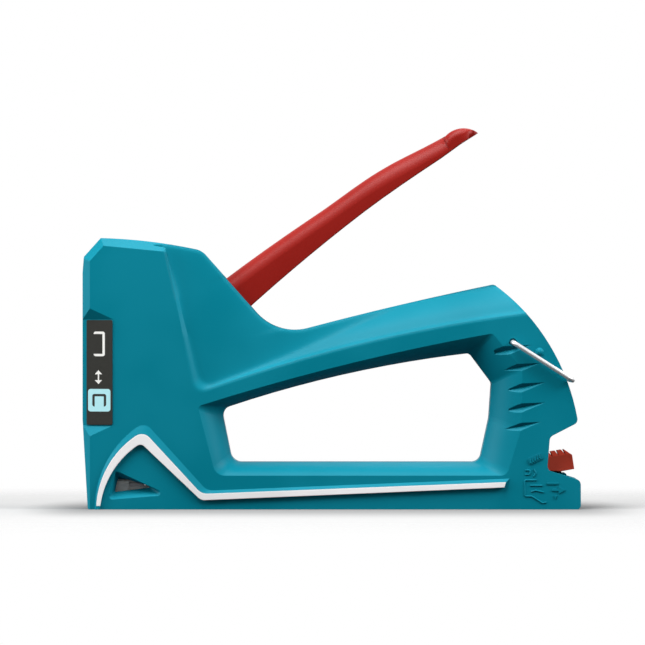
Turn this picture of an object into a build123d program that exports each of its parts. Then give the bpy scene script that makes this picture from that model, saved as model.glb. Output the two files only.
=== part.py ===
"""Hand staple gun: two moulded halves, a squeeze lever, a spring hammer and a push-in magazine.

Millimetres, +Z up. The nose points to -X, the user's left side is -Y and the base rests on Z = 0.
"""

from build123d import *
from math import cos, radians, sin
import os

# ---------------------------------------------------------------- driving dimensions
# Housing: widths are measured from the middle plane, where the halves meet
FLAT_HALF = 15.0
RIDGE_RISE = 1.2
NOSE_X = -92.9
NOSE_FOOT_X = -90.9
NOSE_LOW_Z = 33.6
NOSE_HIGH_Z = 88.2
REAR_X = 92.9
HEAD_TOP_Z = 101.2
HEAD_BEVEL = 2.8
HEAD_BEVEL_END = (-48.6, 97.6)
EDGE_ROUND = 0.8

# Housing outline, front to rear over the top: corners and points that the curves pass through
HEAD_FACET_LOW = (-92.4, 94.2)
HEAD_FACET_HIGH = (-86.1, HEAD_TOP_Z)
TOP_MIDDLE = (-68.0, 99.9)
BROW = (-48.6, 96.6)
SADDLE_CORNER = (-20.2, 64.6)
GRIP_MIDDLE = (24.0, 75.9)
GRIP_END = (60.8, 84.0)
REAR_MIDDLE = (80.0, 63.4)
REAR_HEEL = (91.9, 32.4)
NOTCH_TOP = (81.4, 27.0)
NOTCH_BOTTOM = (80.4, 14.6)
TAIL_TOP = (92.9, 10.8)
BROW_ROUND = 6.0
SADDLE_ROUND = 19.0
CORNER_ROUND = 2.2
FOOT_ROUND = 1.5

# Grip scoop: the crease on the flat, its depth steps and how far each step has moved to the silhouette
SCOOP_TOP_Z = 112.0
SCOOP_UNDER_Z = 30.0
SCOOP_WALL_FOOT = (-50.9, 43.2)
SCOOP_WALL_LEAN = -0.207
SCOOP_CREASE_MIDDLE = (2.3, 59.7)
SCOOP_CREASE_END = (96.0, 75.6)
SCOOP_CORNER_ROUND = 4.0
SLOPE_LEAN = -0.849
SCOOP_GRIP_END = (96.0, 88.6)
SCOOP_WALL = ((0.0, 0.0, 0.0), (1.5, 0.08, 0.08))
SCOOP_SLOPE = (SCOOP_WALL[1], (2.6, 0.9, 0.22), (4.2, 1.5, 0.42), (7.0, 2.0, 0.68), (11.0, 2.5, 1.0))

# Finger hole: corners of the through opening and of its bevel on the flat
HOLE_CORNERS = ((-41.1, 37.3), (51.6, 58.2), (59.8, 47.2), (58.9, 34.0), (55.3, 17.5), (-37.1, 17.5))
HOLE_TOP_MIDDLE = (8.0, 51.0)
HOLE_ROUNDS = (3.6, 2.4, 2.0, 12.0, 3.4, 4.2)
BEVEL_CORNERS = ((-49.9, 38.4), (60.0, 65.6), (71.1, 52.3), (70.7, 30.0), (65.4, 12.6), (-43.2, 12.6))
BEVEL_TOP_MIDDLE = (4.0, 53.7)
BEVEL_ROUNDS = (1.6, 1.6, 1.2, 2.0, 3.2, 4.4)
BEVEL_DEPTH = 8.0
BEVEL_SWELL = 3.0
BEVEL_SWELL_SHARE = 0.45

# Trim ridge low on each side: band, light strip and the strip's low edge, each given as
# foot, bow, peak, valley and end
RIDGE_BAND = ((-88.2, 0.0), (-83.3, 18.8), (-69.6, 32.6), (-46.4, 7.0), (66.4, 11.5))
RIDGE_TOP = ((-87.7, 0.0), (-82.4, 17.7), (-70.0, 29.2), (-48.4, 5.8), (65.0, 10.2))
RIDGE_LOW = ((-86.3, 0.0), (-80.9, 15.2), (-71.0, 24.7), (-48.6, 3.4), (64.4, 8.2))
RIDGE_ROUND = 4.0
RIDGE_FOOT_ROUND = 5.0
RIDGE_LOW_ROUND = 2.2
RIDGE_LOW_FOOT_ROUND = 3.5
STRIP_END_GAP = 1.3
STRIP_INLAY = 1.0

# Sight window in the nose
WINDOW_RIM = ((-83.2, 3.6), (-80.6, 14.6), (-60.6, 5.4))
WINDOW_RIM_ROUND = 1.1
WINDOW_HOLE = ((-81.0, 6.4), (-79.6, 12.2), (-66.4, 8.2))
WINDOW_HOLE_ROUND = 0.4
WINDOW_DEPTH = 3.4

# Slanted label seat on the front corner of the head
LABEL_REAR_X = -81.3
LABEL_FRONT_X = -91.6
LABEL_SINK = 2.5
LABEL_LOW_Z = 31.4
LABEL_END_RISE = 4.8
LABEL_WIDTH = 9.9
LABEL_HEIGHT = 39.0
LABEL_GAP = 0.2
LABEL_THICK = 0.5

# Grip gills behind the finger hole, spaced around an arc
GILLS = 5
GILL_ARC_CENTRE = (33.5, 40.5)
GILL_ARC_RADIUS = 32.8
GILL_MIDDLE_ANGLE = 7.1
GILL_PITCH_ANGLE = 13.05
GILL_LENGTH = 13.6
GILL_RISE = 2.8
GILL_ROOT_DEPTH = 2.4
GILL_REACH = 5.0
GILL_UP_SLOPE = 0.95
GILL_DOWN_SLOPE = 1.2

# Mechanism spaces inside the head and the magazine bay in the base
CHAMBER_HALF = 11.4
CHAMBER_REAR_X = -61.5
CHAMBER_ROOF_Z = 94.6
CHAMBER_FLOOR_Z = 24.0
LEVER_SPACE = (
    (-66.0, 60.0), (-42.0, 59.5), (-34.5, 63.0), (-18.0, 67.7), (-10.0, 76.0), (-10.0, 110.0), (-25.0, 98.9),
    (-41.0, 86.6), (-47.0, 84.0), (-54.0, 81.8), (-66.0, 84.0),
)
SLOT_GAP = 0.6
RUN = 0.3
SEAT = 0.1
OVERRUN = 1.0

# Lever: pivot, travel and side outline at rest
PIVOT = (-53.1, 72.5)
LEVER_TRAVEL = 27.8
LEVER_HALF = 9.8
LEVER_GAUGE = 1.2
LEVER_TIP = (54.8, 140.6)
LEVER_TOP_START = (-40.4, 85.4)
LEVER_TOP_MIDDLE = (-2.8, 111.9)
LEVER_NOTCH = (40.9, 138.5)
LEVER_NOTCH_RISE = (42.6, 139.4)
LEVER_HUMP = (50.4, 142.3)
LEVER_LOW_START = (-34.6, 73.8)
LEVER_LOW_MIDDLE = (9.2, 109.6)
LEVER_BOSS_RADIUS = 6.4
FORK_REACH = 30.0
FORK_REST_ANGLE = 13.0
FORK_NOSE_RADIUS = 2.6
PIN_RADIUS = 3.0
PIN_FIT = 0.06
PIN_HALF = 12.0
LEVER_DEPTH = 60.0
LEVER_TIP_HOLLOW = 6.0
LEVER_ROUND = 4.6
HUMP_ROUND = 3.0
TIP_ROUND = 7.0
CORNER_OVERRUN = 3.0
BUSH_WALL = 1.4
RETURN_RADIUS = 5.3
RETURN_WIRE = 1.2
RETURN_PITCH = 1.9
RETURN_TURNS = 4.3
RETURN_LEG = 8.0

# Hammer, driver blade and power spring
BLADE_FRONT_X = -88.0
BLADE_THICK = 1.0
BLADE_HALF = 5.4
BLADE_TIP_Z = 0.8
BLADE_TOP_Z = 66.0
HAMMER_LOW_Z = 30.0
HAMMER_HIGH_Z = 73.0
HAMMER_FRONT = 3.0
HAMMER_HALF = 7.6
SPRING_RADIUS = 5.2
SPRING_WIRE = 1.8
SPRING_TURNS = 8
CUP_WALL = 1.2
CUP_FLOOR = 3.0
EAR_THICK = 3.2
EAR_GAP = 0.8
EAR_REACH = 0.6
EAR_HALF = 10.2
SEAT_THICK = 2.0
SEAT_STEM = 9.0
BUMPER_LENGTH = 15.0
RIVET_RADIUS = 1.8
RIVET_LENGTH = 3.4
RIVET_HEIGHTS = (40.0, 58.0)

# Magazine: fixed steel channel, drawer rail, follower and end knob
CROWN_HALF = 5.9
SHEET = 0.9
CHANNEL_LOW_Z = 0.6
CHANNEL_WEB_Z = 10.2
CHANNEL_FRONT_X = -86.4
CHANNEL_REAR_X = 79.0
SIGHT_LOW_Z = 8.5
SIGHT_HIGH_Z = 10.0
SIGHT_FRONT_X = -75.6
SIGHT_REAR_X = -58.0
RAIL_HALF = 4.6
RAIL_LOW_Z = 1.8
RAIL_HIGH_Z = 8.6
ROD_RADIUS = 1.1
FOLLOWER_LENGTH = 16.0
FOLLOWER_SKIRT = 0.7
FOLLOWER_DEPTH = 4.2
FEED_RADIUS = 2.0
FEED_WIRE = 0.8
FEED_TURNS = 22
DRAWER_END_LENGTH = 8.6
DRAWER_END_Z = 13.4
DRAWER_SLOT_Z = 22.8
ROD_SOCKET = 3.0
NOSE_WING_REAR_X = -75.8
NOSE_WING_Z = 10.6
NOSE_PLATE_TOP_Z = 26.0
KNOB_PROFILE = ((79.8, 21.0), (87.0, 22.2), (90.0, 20.2), (90.8, 14.9), (86.0, 14.0), (79.8, 14.3))
KNOB_HALF = 6.2
KNOB_CHAMFER = 1.9
KNOB_RIDGES = 3
KNOB_FIRST_GROOVE = 0.22
KNOB_GROOVE = 2.0
KNOB_LEAN = 1.4
KNOB_TOOTH = 1.1
KNOB_STEM = (5.0, 2.5, 17.6)

# Wire bail that holds the lever down
BAIL_PIVOT = (67.6, 62.3)
BAIL_RADIUS = 26.3
BAIL_REST_ANGLE = -32.5
BAIL_WIRE = 1.8
BAIL_GAP = 1.35
BAIL_BEND = 2.0
BAIL_MOUTH = 1.5
BAIL_MOUTH_DEPTH = 0.6
BAIL_GRIP = 2.4
DETENT = (77.5, 58.7)
DETENT_RADIUS = 1.6
DETENT_RISE = 1.0

# Housing screws, driven in from the right side
SCREW_PLACES = ((-55.6, 91.4), (-57.0, 30.0), (-6.0, 58.6), (50.0, 69.6), (75.0, 26.0))
SCREW_HEAD_RADIUS = 3.2
SCREW_HEAD_THICK = 2.4
SCREW_RADIUS = 1.6
SCREW_SINK = 4.4
SCREW_GRIP = 7.0
SCREW_CROSS = (3.6, 0.9, 1.2)

# ---------------------------------------------------------------- values worked out from them
LEVER_INNER = LEVER_HALF - LEVER_GAUGE
SLOT_HALF = LEVER_HALF + SLOT_GAP
LABEL_HIGH_Z = LABEL_LOW_Z + LABEL_HEIGHT + 2 * LABEL_GAP
FORK_NOSE = (
    PIVOT[0] - FORK_REACH * cos(radians(FORK_REST_ANGLE)),
    PIVOT[1] - FORK_REACH * sin(radians(FORK_REST_ANGLE)),
)
FORK_LIFT = FORK_REACH * (sin(radians(FORK_REST_ANGLE)) + sin(radians(LEVER_TRAVEL - FORK_REST_ANGLE)))
EAR_LOW_Z = FORK_NOSE[1] + FORK_NOSE_RADIUS + EAR_GAP
BLADE_REAR_X = BLADE_FRONT_X + BLADE_THICK
CHAMBER_FRONT_X = BLADE_REAR_X - RUN
NOSE_PLATE_REAR_X = BLADE_FRONT_X - RUN
NOSE_PLATE_X = NOSE_PLATE_REAR_X - SHEET
CUP_OUTER = SPRING_RADIUS + SPRING_WIRE / 2 + RUN + CUP_WALL
CUP_INNER = CUP_OUTER - CUP_WALL
SPRING_X = BLADE_REAR_X + HAMMER_FRONT + CUP_OUTER
SPRING_SEAT_Z = CHAMBER_ROOF_Z - SEAT - SEAT_THICK
CHANNEL_OUTER = CROWN_HALF + SHEET
CHANNEL_TOP_Z = CHANNEL_WEB_Z + SHEET
WING_OUTER = CHANNEL_OUTER + SEAT + SHEET
BAY_HALF = WING_OUTER + SEAT
BAY_TOP_Z = CHANNEL_TOP_Z + SEAT
BAIL_ARM_Y = FLAT_HALF + BAIL_GAP + BAIL_WIRE / 2
ROD_Z = (RAIL_LOW_Z + SHEET + RAIL_HIGH_Z) / 2
RAIL_FRONT_X = CHANNEL_FRONT_X + SEAT
DRAWER_END_X = CHANNEL_REAR_X + RUN
FOLLOWER_X = RAIL_FRONT_X + SHEET + RUN


def blend(start, end, share):
    """Point part of the way from start to end."""
    return (start[0] + (end[0] - start[0]) * share, start[1] + (end[1] - start[1]) * share)


def side_plane(half_width):
    """Plane of a side outline, half_width out from the middle plane on the left side."""
    return Plane.XZ.offset(half_width)


def save(part, name):
    """Label the finished piece and write it beside the others."""
    part.label = name
    export_step(part, f"parts/{name}.step")


os.makedirs("parts", exist_ok=True)


# ---------------------------------------------------------------- housing outlines
def housing_outline():
    """Side outline of the housing without the finger hole."""
    with BuildSketch(Plane.XZ) as outline:
        with BuildLine():
            Polyline(
                (NOSE_FOOT_X, 0), (NOSE_X, NOSE_LOW_Z), (NOSE_X, NOSE_HIGH_Z), HEAD_FACET_LOW, HEAD_FACET_HIGH
            )
            ThreePointArc(HEAD_FACET_HIGH, TOP_MIDDLE, BROW)
            Line(BROW, SADDLE_CORNER)
            ThreePointArc(SADDLE_CORNER, GRIP_MIDDLE, GRIP_END)
            ThreePointArc(GRIP_END, REAR_MIDDLE, REAR_HEEL)
            Polyline(REAR_HEEL, NOTCH_TOP, NOTCH_BOTTOM, TAIL_TOP, (REAR_X, 0), (NOSE_FOOT_X, 0))
        make_face()
        for corner, radius in (
            (BROW, BROW_ROUND), (SADDLE_CORNER, SADDLE_ROUND), (GRIP_END, CORNER_ROUND),
            (REAR_HEEL, CORNER_ROUND), (NOTCH_TOP, CORNER_ROUND), (NOTCH_BOTTOM, CORNER_ROUND),
            (TAIL_TOP, CORNER_ROUND), ((REAR_X, 0), FOOT_ROUND), ((NOSE_FOOT_X, 0), FOOT_ROUND / 2),
        ):
            fillet(outline.vertices().sort_by_distance(corner)[0], radius)
    return outline.sketch


def rounded_loop(corners, middles, rounds, plane):
    """Closed loop through corners, bowed through a middle point where one is given, corners rounded."""
    with BuildSketch(plane) as loop:
        with BuildLine():
            for index, corner in enumerate(corners):
                following = corners[(index + 1) % len(corners)]
                if index in middles:
                    ThreePointArc(corner, middles[index], following)
                else:
                    Line(corner, following)
        make_face()
        for corner, radius in zip(corners, rounds):
            fillet(loop.vertices().sort_by_distance(corner)[0], radius)
    return loop.sketch


def hole_section(depth, share):
    """Finger hole outline at a depth below the flat; share 0 is the opening, 1 the bevel's outer edge."""
    corners = [blend(a, b, share) for a, b in zip(HOLE_CORNERS, BEVEL_CORNERS)]
    middles = {0: blend(HOLE_TOP_MIDDLE, BEVEL_TOP_MIDDLE, share)}
    rounds = [a + (b - a) * share for a, b in zip(HOLE_ROUNDS, BEVEL_ROUNDS)]
    return rounded_loop(corners, middles, rounds, side_plane(FLAT_HALF - depth))


def scoop_section(depth, slope_share, grip_share):
    """Outline of what the grip scoop takes away at one depth below the flat."""
    low = blend(SCOOP_WALL_FOOT, SADDLE_CORNER, grip_share)
    middle = blend(SCOOP_CREASE_MIDDLE, GRIP_MIDDLE, grip_share)
    end = blend(SCOOP_CREASE_END, SCOOP_GRIP_END, grip_share)
    foot = (blend(SCOOP_WALL_FOOT, SADDLE_CORNER, slope_share)[0], low[1])
    lean = SCOOP_WALL_LEAN + (SLOPE_LEAN - SCOOP_WALL_LEAN) * min(slope_share, 1)
    high = (foot[0] + lean * (SCOOP_TOP_Z - foot[1]), SCOOP_TOP_Z)
    under = (foot[0] + lean * (SCOOP_UNDER_Z - foot[1]), SCOOP_UNDER_Z)
    radius = SCOOP_CORNER_ROUND + (SADDLE_ROUND - SCOOP_CORNER_ROUND) * grip_share
    with BuildSketch(side_plane(FLAT_HALF - depth)) as section:
        with BuildLine():
            ThreePointArc(low, middle, end)
            Polyline(end, (end[0], SCOOP_TOP_Z), (NOSE_X, SCOOP_TOP_Z), (NOSE_X, low[1]), low)
        make_face()
        # In front of the wall line nothing is taken
        with BuildLine():
            Polyline(high, under, (NOSE_X, SCOOP_UNDER_Z), (NOSE_X, SCOOP_TOP_Z), close=True)
        make_face(mode=Mode.SUBTRACT)
        fillet(section.vertices().sort_by_distance(foot)[0], radius)
    return section.sketch


def plane_through(origin, along, across):
    """Plane through three points; its normal is (along - origin) x (across - origin)."""
    start = Vector(*origin)
    first = Vector(*along) - start
    second = Vector(*across) - start
    return Plane(origin=start, x_dir=first, z_dir=first.cross(second))


def label_seat_plane():
    """Slanted plane that the label plate lies on; its normal points out to the front left."""
    front = (LABEL_FRONT_X, LABEL_SINK - FLAT_HALF, LABEL_LOW_Z)
    rear = (LABEL_REAR_X, -FLAT_HALF, LABEL_LOW_Z)
    high = (LABEL_REAR_X, -FLAT_HALF, LABEL_HIGH_Z)
    return plane_through(rear, high, front)


def label_seat_cutter():
    """Wedge cut away over the label seat, with sloped ends above and below."""
    seat = label_seat_plane()
    rear = (LABEL_REAR_X, -FLAT_HALF)
    front = (LABEL_FRONT_X, LABEL_SINK - FLAT_HALF)
    reach = FLAT_HALF
    with BuildPart() as wedge:
        with Locations(((LABEL_FRONT_X + LABEL_REAR_X) / 2, -FLAT_HALF, (LABEL_LOW_Z + LABEL_HIGH_Z) / 2)):
            Box(2 * reach, reach, LABEL_HEIGHT + 3 * LABEL_END_RISE)
        split(bisect_by=seat, keep=Keep.TOP)
        for level, rise in ((LABEL_HIGH_Z, LABEL_END_RISE), (LABEL_LOW_Z, -LABEL_END_RISE)):
            end_face = plane_through(
                (*rear, level), (*front, level), (LABEL_FRONT_X, -FLAT_HALF, level + rise)
            )
            inside = Vector(LABEL_FRONT_X, -FLAT_HALF, (LABEL_LOW_Z + LABEL_HIGH_Z) / 2)
            above = end_face.to_local_coords(inside).Z > 0
            split(bisect_by=end_face, keep=Keep.TOP if above else Keep.BOTTOM)
    return wedge.part


def gill_cutter(index):
    """Notch of one gill: a V along a line from its deep front tip to its rear tip on the flat."""
    angle = radians(GILL_MIDDLE_ANGLE + GILL_PITCH_ANGLE * (index - (GILLS - 1) / 2))
    front = Vector(
        GILL_ARC_CENTRE[0] + GILL_ARC_RADIUS * cos(angle),
        GILL_ROOT_DEPTH - FLAT_HALF,
        GILL_ARC_CENTRE[1] + GILL_ARC_RADIUS * sin(angle),
    )
    rear = Vector(front.X + GILL_LENGTH, -FLAT_HALF, front.Z + GILL_RISE)
    along = (rear - front).normalized()
    outward = (Vector(0, -1, 0) - along * Vector(0, -1, 0).dot(along)).normalized()
    plane = Plane(origin=front, x_dir=outward, z_dir=along)
    with BuildPart() as notch:
        with BuildSketch(plane):
            with BuildLine():
                Polyline((0, 0), (GILL_REACH, GILL_REACH * GILL_DOWN_SLOPE),
                         (GILL_REACH, -GILL_REACH * GILL_UP_SLOPE), close=True)
            make_face()
        extrude(amount=(rear - front).length)
    return notch.part


def ridge_outline(points, plane):
    """One level of the trim ridge: its upper edge from points, then back along the strip's low edge."""
    foot, bow, peak, valley, end = points
    low_foot, low_bow, low_peak, low_valley, low_end = RIDGE_LOW
    with BuildSketch(plane) as outline:
        with BuildLine():
            ThreePointArc(foot, bow, peak)
            Polyline(peak, valley, end, low_end, low_valley, low_peak)
            ThreePointArc(low_peak, low_bow, low_foot)
            Line(low_foot, foot)
        make_face()
        for corner, radius in (
            (peak, RIDGE_ROUND), (valley, RIDGE_FOOT_ROUND), (low_peak, RIDGE_LOW_ROUND),
            (low_valley, RIDGE_LOW_FOOT_ROUND),
        ):
            fillet(outline.vertices().sort_by_distance(corner)[0], radius)
    return outline.sketch


def housing_side():
    """Outer form of the left half, still solid inside, from the middle plane out to the left."""
    with BuildPart() as side:
        extrude(housing_outline(), amount=FLAT_HALF)
        # Finger hole with its swelling bevel
        loft(
            [
                hole_section(0, 1),
                hole_section(BEVEL_SWELL, BEVEL_SWELL_SHARE),
                hole_section(BEVEL_DEPTH, 0),
            ],
            mode=Mode.SUBTRACT,
        )
        extrude(hole_section(FLAT_HALF, 0), amount=FLAT_HALF - BEVEL_DEPTH, mode=Mode.SUBTRACT)
        # Grip scoop
        loft([scoop_section(*step) for step in SCOOP_WALL], ruled=True, mode=Mode.SUBTRACT)
        loft([scoop_section(*step) for step in SCOOP_SLOPE], mode=Mode.SUBTRACT)
        # Flat bevels round the front and top of the head
        for low, high in (
            ((NOSE_X, 0), (NOSE_X, HEAD_FACET_LOW[1])),
            (HEAD_FACET_LOW, HEAD_FACET_HIGH),
            (HEAD_FACET_HIGH, HEAD_BEVEL_END),
        ):
            edge = Vector(high[0] - low[0], 0, high[1] - low[1]).normalized()
            inward = Vector(edge.Z, 0, -edge.X) * HEAD_BEVEL
            start = Vector(low[0], -FLAT_HALF, low[1]) + inward
            bevel = plane_through(start, start + edge, Vector(low[0], HEAD_BEVEL - FLAT_HALF, low[1]))
            inside = bevel.to_local_coords(Vector(PIVOT[0], 0, PIVOT[1])).Z > 0
            split(bisect_by=bevel, keep=Keep.TOP if inside else Keep.BOTTOM)
        add(label_seat_cutter(), mode=Mode.SUBTRACT)
        for index in range(GILLS):
            add(gill_cutter(index), mode=Mode.SUBTRACT)
    return side.part


def window_section(corners, radius, plane):
    """Rounded triangle of the sight window."""
    return rounded_loop(corners, {}, [radius] * len(corners), plane)


def side_box(low, high, inner, outer):
    """Box between two side-outline corners, from inner to outer distance left of the middle plane."""
    with BuildPart() as box:
        with BuildSketch(side_plane(inner)):
            with Locations(((low[0] + high[0]) / 2, (low[1] + high[1]) / 2)):
                Rectangle(high[0] - low[0], high[1] - low[1])
        extrude(amount=outer - inner)
    return box.part


def strip():
    """Light trim strip of the left side, seated in its bed on the ridge."""
    bed = FLAT_HALF + RIDGE_RISE - STRIP_INLAY
    with BuildPart() as inlay:
        extrude(ridge_outline(RIDGE_TOP, side_plane(bed)), amount=STRIP_INLAY)
        split(bisect_by=Plane.XY.offset(STRIP_END_GAP), keep=Keep.TOP)
    return inlay.part


def mechanism_spaces():
    """Everything that is hollow inside the left half."""
    blade_top = BLADE_TOP_Z + FORK_LIFT + RUN
    with BuildPart() as spaces:
        # Hammer chamber, lever space with its slot in the head's rear slope, and blade slot
        add(side_box((CHAMBER_FRONT_X, CHAMBER_FLOOR_Z), (CHAMBER_REAR_X, CHAMBER_ROOF_Z), 0, CHAMBER_HALF))
        with BuildSketch(Plane.XZ):
            with BuildLine():
                Polyline(*LEVER_SPACE, close=True)
            make_face()
        extrude(amount=SLOT_HALF)
        add(side_box((NOSE_PLATE_REAR_X, 0), (BLADE_REAR_X + RUN, blade_top), 0, BLADE_HALF + RUN))
        # Bay for the nose plate, the magazine channel and, behind it, the drawer end
        add(side_box((NOSE_PLATE_X - SEAT, -OVERRUN), (NOSE_WING_REAR_X + SEAT, BAY_TOP_Z), 0, BAY_HALF))
        add(side_box((NOSE_PLATE_X - SEAT, 0), (NOSE_PLATE_REAR_X, NOSE_PLATE_TOP_Z + SEAT), 0, BAY_HALF))
        add(side_box((NOSE_PLATE_X, -OVERRUN), (REAR_X + OVERRUN, BAY_TOP_Z), 0, CHANNEL_OUTER + SEAT))
        add(side_box((CHANNEL_REAR_X, -OVERRUN), (REAR_X + OVERRUN, DRAWER_SLOT_Z), 0, CHANNEL_OUTER + SEAT))
    return spaces.part


def housing_half():
    """Left half as moulded, before its screw holes."""
    pocket = FLAT_HALF - BAIL_GRIP
    cap_radius = (DETENT_RADIUS**2 + DETENT_RISE**2) / (2 * DETENT_RISE)
    with BuildPart() as half:
        add(housing_side())
        # Trim ridge with the bed of the strip
        loft(
            [
                ridge_outline(RIDGE_BAND, side_plane(FLAT_HALF)),
                ridge_outline(RIDGE_TOP, side_plane(FLAT_HALF + RIDGE_RISE)),
            ],
            ruled=True,
        )
        add(strip(), mode=Mode.SUBTRACT)
        # Sight window
        loft(
            [
                window_section(WINDOW_RIM, WINDOW_RIM_ROUND, side_plane(FLAT_HALF)),
                window_section(WINDOW_HOLE, WINDOW_HOLE_ROUND, side_plane(FLAT_HALF - WINDOW_DEPTH)),
            ],
            ruled=True,
            mode=Mode.SUBTRACT,
        )
        extrude(
            window_section(WINDOW_HOLE, WINDOW_HOLE_ROUND, side_plane(0)),
            amount=FLAT_HALF,
            mode=Mode.SUBTRACT,
        )
        add(mechanism_spaces(), mode=Mode.SUBTRACT)
        # Blind hole of the lever pin, bail hole and detent
        with BuildSketch(Plane.XZ):
            with Locations(PIVOT):
                Circle(PIN_RADIUS + PIN_FIT)
        extrude(amount=PIN_HALF + SEAT, mode=Mode.SUBTRACT)
        with BuildSketch(side_plane(pocket - SEAT)):
            with Locations(BAIL_PIVOT):
                Circle(BAIL_WIRE / 2 + PIN_FIT)
        extrude(amount=BAIL_GRIP + SEAT, mode=Mode.SUBTRACT)
        with BuildSketch(side_plane(FLAT_HALF - BAIL_MOUTH_DEPTH)):
            with Locations(BAIL_PIVOT):
                Circle(BAIL_MOUTH)
        extrude(amount=BAIL_MOUTH_DEPTH, mode=Mode.SUBTRACT)
        with Locations((DETENT[0], cap_radius - DETENT_RISE - FLAT_HALF, DETENT[1])):
            Sphere(cap_radius)
    return half.part


# ---------------------------------------------------------------- housing pieces
half_form = housing_half()

with BuildPart() as left_housing:
    add(half_form)
    with BuildSketch(Plane.XZ):
        with Locations(SCREW_PLACES):
            Circle(SCREW_RADIUS)
    extrude(amount=SCREW_GRIP + SEAT, mode=Mode.SUBTRACT)
save(left_housing.part, "left_housing")

with BuildPart() as right_housing:
    add(mirror(half_form, about=Plane.XZ))
    with BuildSketch(Plane.XZ):
        with Locations(SCREW_PLACES):
            Circle(SCREW_RADIUS + SEAT)
    extrude(amount=-FLAT_HALF, mode=Mode.SUBTRACT)
    with BuildSketch(side_plane(-FLAT_HALF)):
        with Locations(SCREW_PLACES):
            Circle(SCREW_HEAD_RADIUS + SEAT)
    extrude(amount=SCREW_SINK + SEAT, mode=Mode.SUBTRACT)
save(right_housing.part, "right_housing")

with BuildPart() as housing_screws:
    with BuildSketch(side_plane(SCREW_SINK - FLAT_HALF)):
        with Locations(SCREW_PLACES):
            Circle(SCREW_HEAD_RADIUS)
    extrude(amount=-SCREW_HEAD_THICK)
    with BuildSketch(side_plane(SCREW_SINK - FLAT_HALF)):
        with Locations(SCREW_PLACES):
            Circle(SCREW_RADIUS)
    extrude(amount=FLAT_HALF - SCREW_SINK + SCREW_GRIP)
    with BuildSketch(side_plane(SCREW_SINK - SCREW_HEAD_THICK - FLAT_HALF)):
        with Locations(SCREW_PLACES):
            Rectangle(SCREW_CROSS[0], SCREW_CROSS[1])
            Rectangle(SCREW_CROSS[1], SCREW_CROSS[0])
    extrude(amount=SCREW_CROSS[2], mode=Mode.SUBTRACT)
save(housing_screws.part, "housing_screws")

trim_left = strip()
save(trim_left, "trim_left")
save(mirror(trim_left, about=Plane.XZ), "trim_right")


def label_plate():
    """Plain plate on the left label seat."""
    seat = label_seat_plane()
    length = Vector(LABEL_FRONT_X - LABEL_REAR_X, LABEL_SINK, 0).length
    with BuildPart() as plate:
        with BuildSketch(seat):
            with Locations((LABEL_HEIGHT / 2 + LABEL_GAP, length / 2)):
                RectangleRounded(LABEL_HEIGHT, LABEL_WIDTH, LABEL_THICK)
        extrude(amount=LABEL_THICK)
    return plate.part


label_left = label_plate()
save(label_left, "label_left")
save(mirror(label_left, about=Plane.XZ), "label_right")

with BuildPart() as nose_plate:
    with BuildSketch(Plane.XY.offset(CHANNEL_LOW_Z)):
        with Locations(((NOSE_PLATE_X + NOSE_PLATE_REAR_X) / 2, 0)):
            Rectangle(SHEET, 2 * WING_OUTER)
    extrude(amount=NOSE_PLATE_TOP_Z - CHANNEL_LOW_Z)
    with BuildSketch(Plane.XY.offset(CHANNEL_LOW_Z)):
        for wing_y in (WING_OUTER - SHEET / 2, SHEET / 2 - WING_OUTER):
            with Locations(((NOSE_PLATE_X + NOSE_WING_REAR_X) / 2, wing_y)):
                Rectangle(NOSE_WING_REAR_X - NOSE_PLATE_X, SHEET)
    extrude(amount=NOSE_WING_Z - CHANNEL_LOW_Z)
save(nose_plate.part, "nose_plate")

with BuildPart() as spring_seat:
    with BuildSketch(Plane.XY.offset(SPRING_SEAT_Z)):
        with Locations((SPRING_X, 0)):
            Circle(CUP_OUTER)
    extrude(amount=SEAT_THICK)
    with BuildSketch(Plane.XY.offset(SPRING_SEAT_Z)):
        with Locations((SPRING_X, 0)):
            Circle(SPRING_RADIUS - SPRING_WIRE / 2 - RUN)
    extrude(amount=-SEAT_STEM)
    chamfer(spring_seat.faces().sort_by(Axis.Z)[0].edges(), EDGE_ROUND)
save(spring_seat.part, "spring_seat")

with BuildPart() as bumper:
    with BuildSketch(Plane.XY.offset(CHAMBER_FLOOR_Z + SEAT)):
        with Locations((BLADE_REAR_X + RUN + BUMPER_LENGTH / 2, 0)):
            RectangleRounded(BUMPER_LENGTH, 2 * HAMMER_HALF, EDGE_ROUND)
    extrude(amount=HAMMER_LOW_Z - RUN - CHAMBER_FLOOR_Z - SEAT)
save(bumper.part, "bumper")

# ---------------------------------------------------------------- magazine, fixed part
with BuildPart() as magazine_channel:
    add(
        side_box(
            (CHANNEL_FRONT_X, CHANNEL_LOW_Z), (CHANNEL_REAR_X, CHANNEL_TOP_Z), -CHANNEL_OUTER, CHANNEL_OUTER
        )
    )
    add(
        side_box((CHANNEL_FRONT_X, CHANNEL_LOW_Z), (CHANNEL_REAR_X, CHANNEL_WEB_Z), -CROWN_HALF, CROWN_HALF),
        mode=Mode.SUBTRACT,
    )
    add(
        side_box((SIGHT_FRONT_X, SIGHT_LOW_Z), (SIGHT_REAR_X, SIGHT_HIGH_Z), -CHANNEL_OUTER, CHANNEL_OUTER),
        mode=Mode.SUBTRACT,
    )
save(magazine_channel.part, "magazine_channel")

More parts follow.
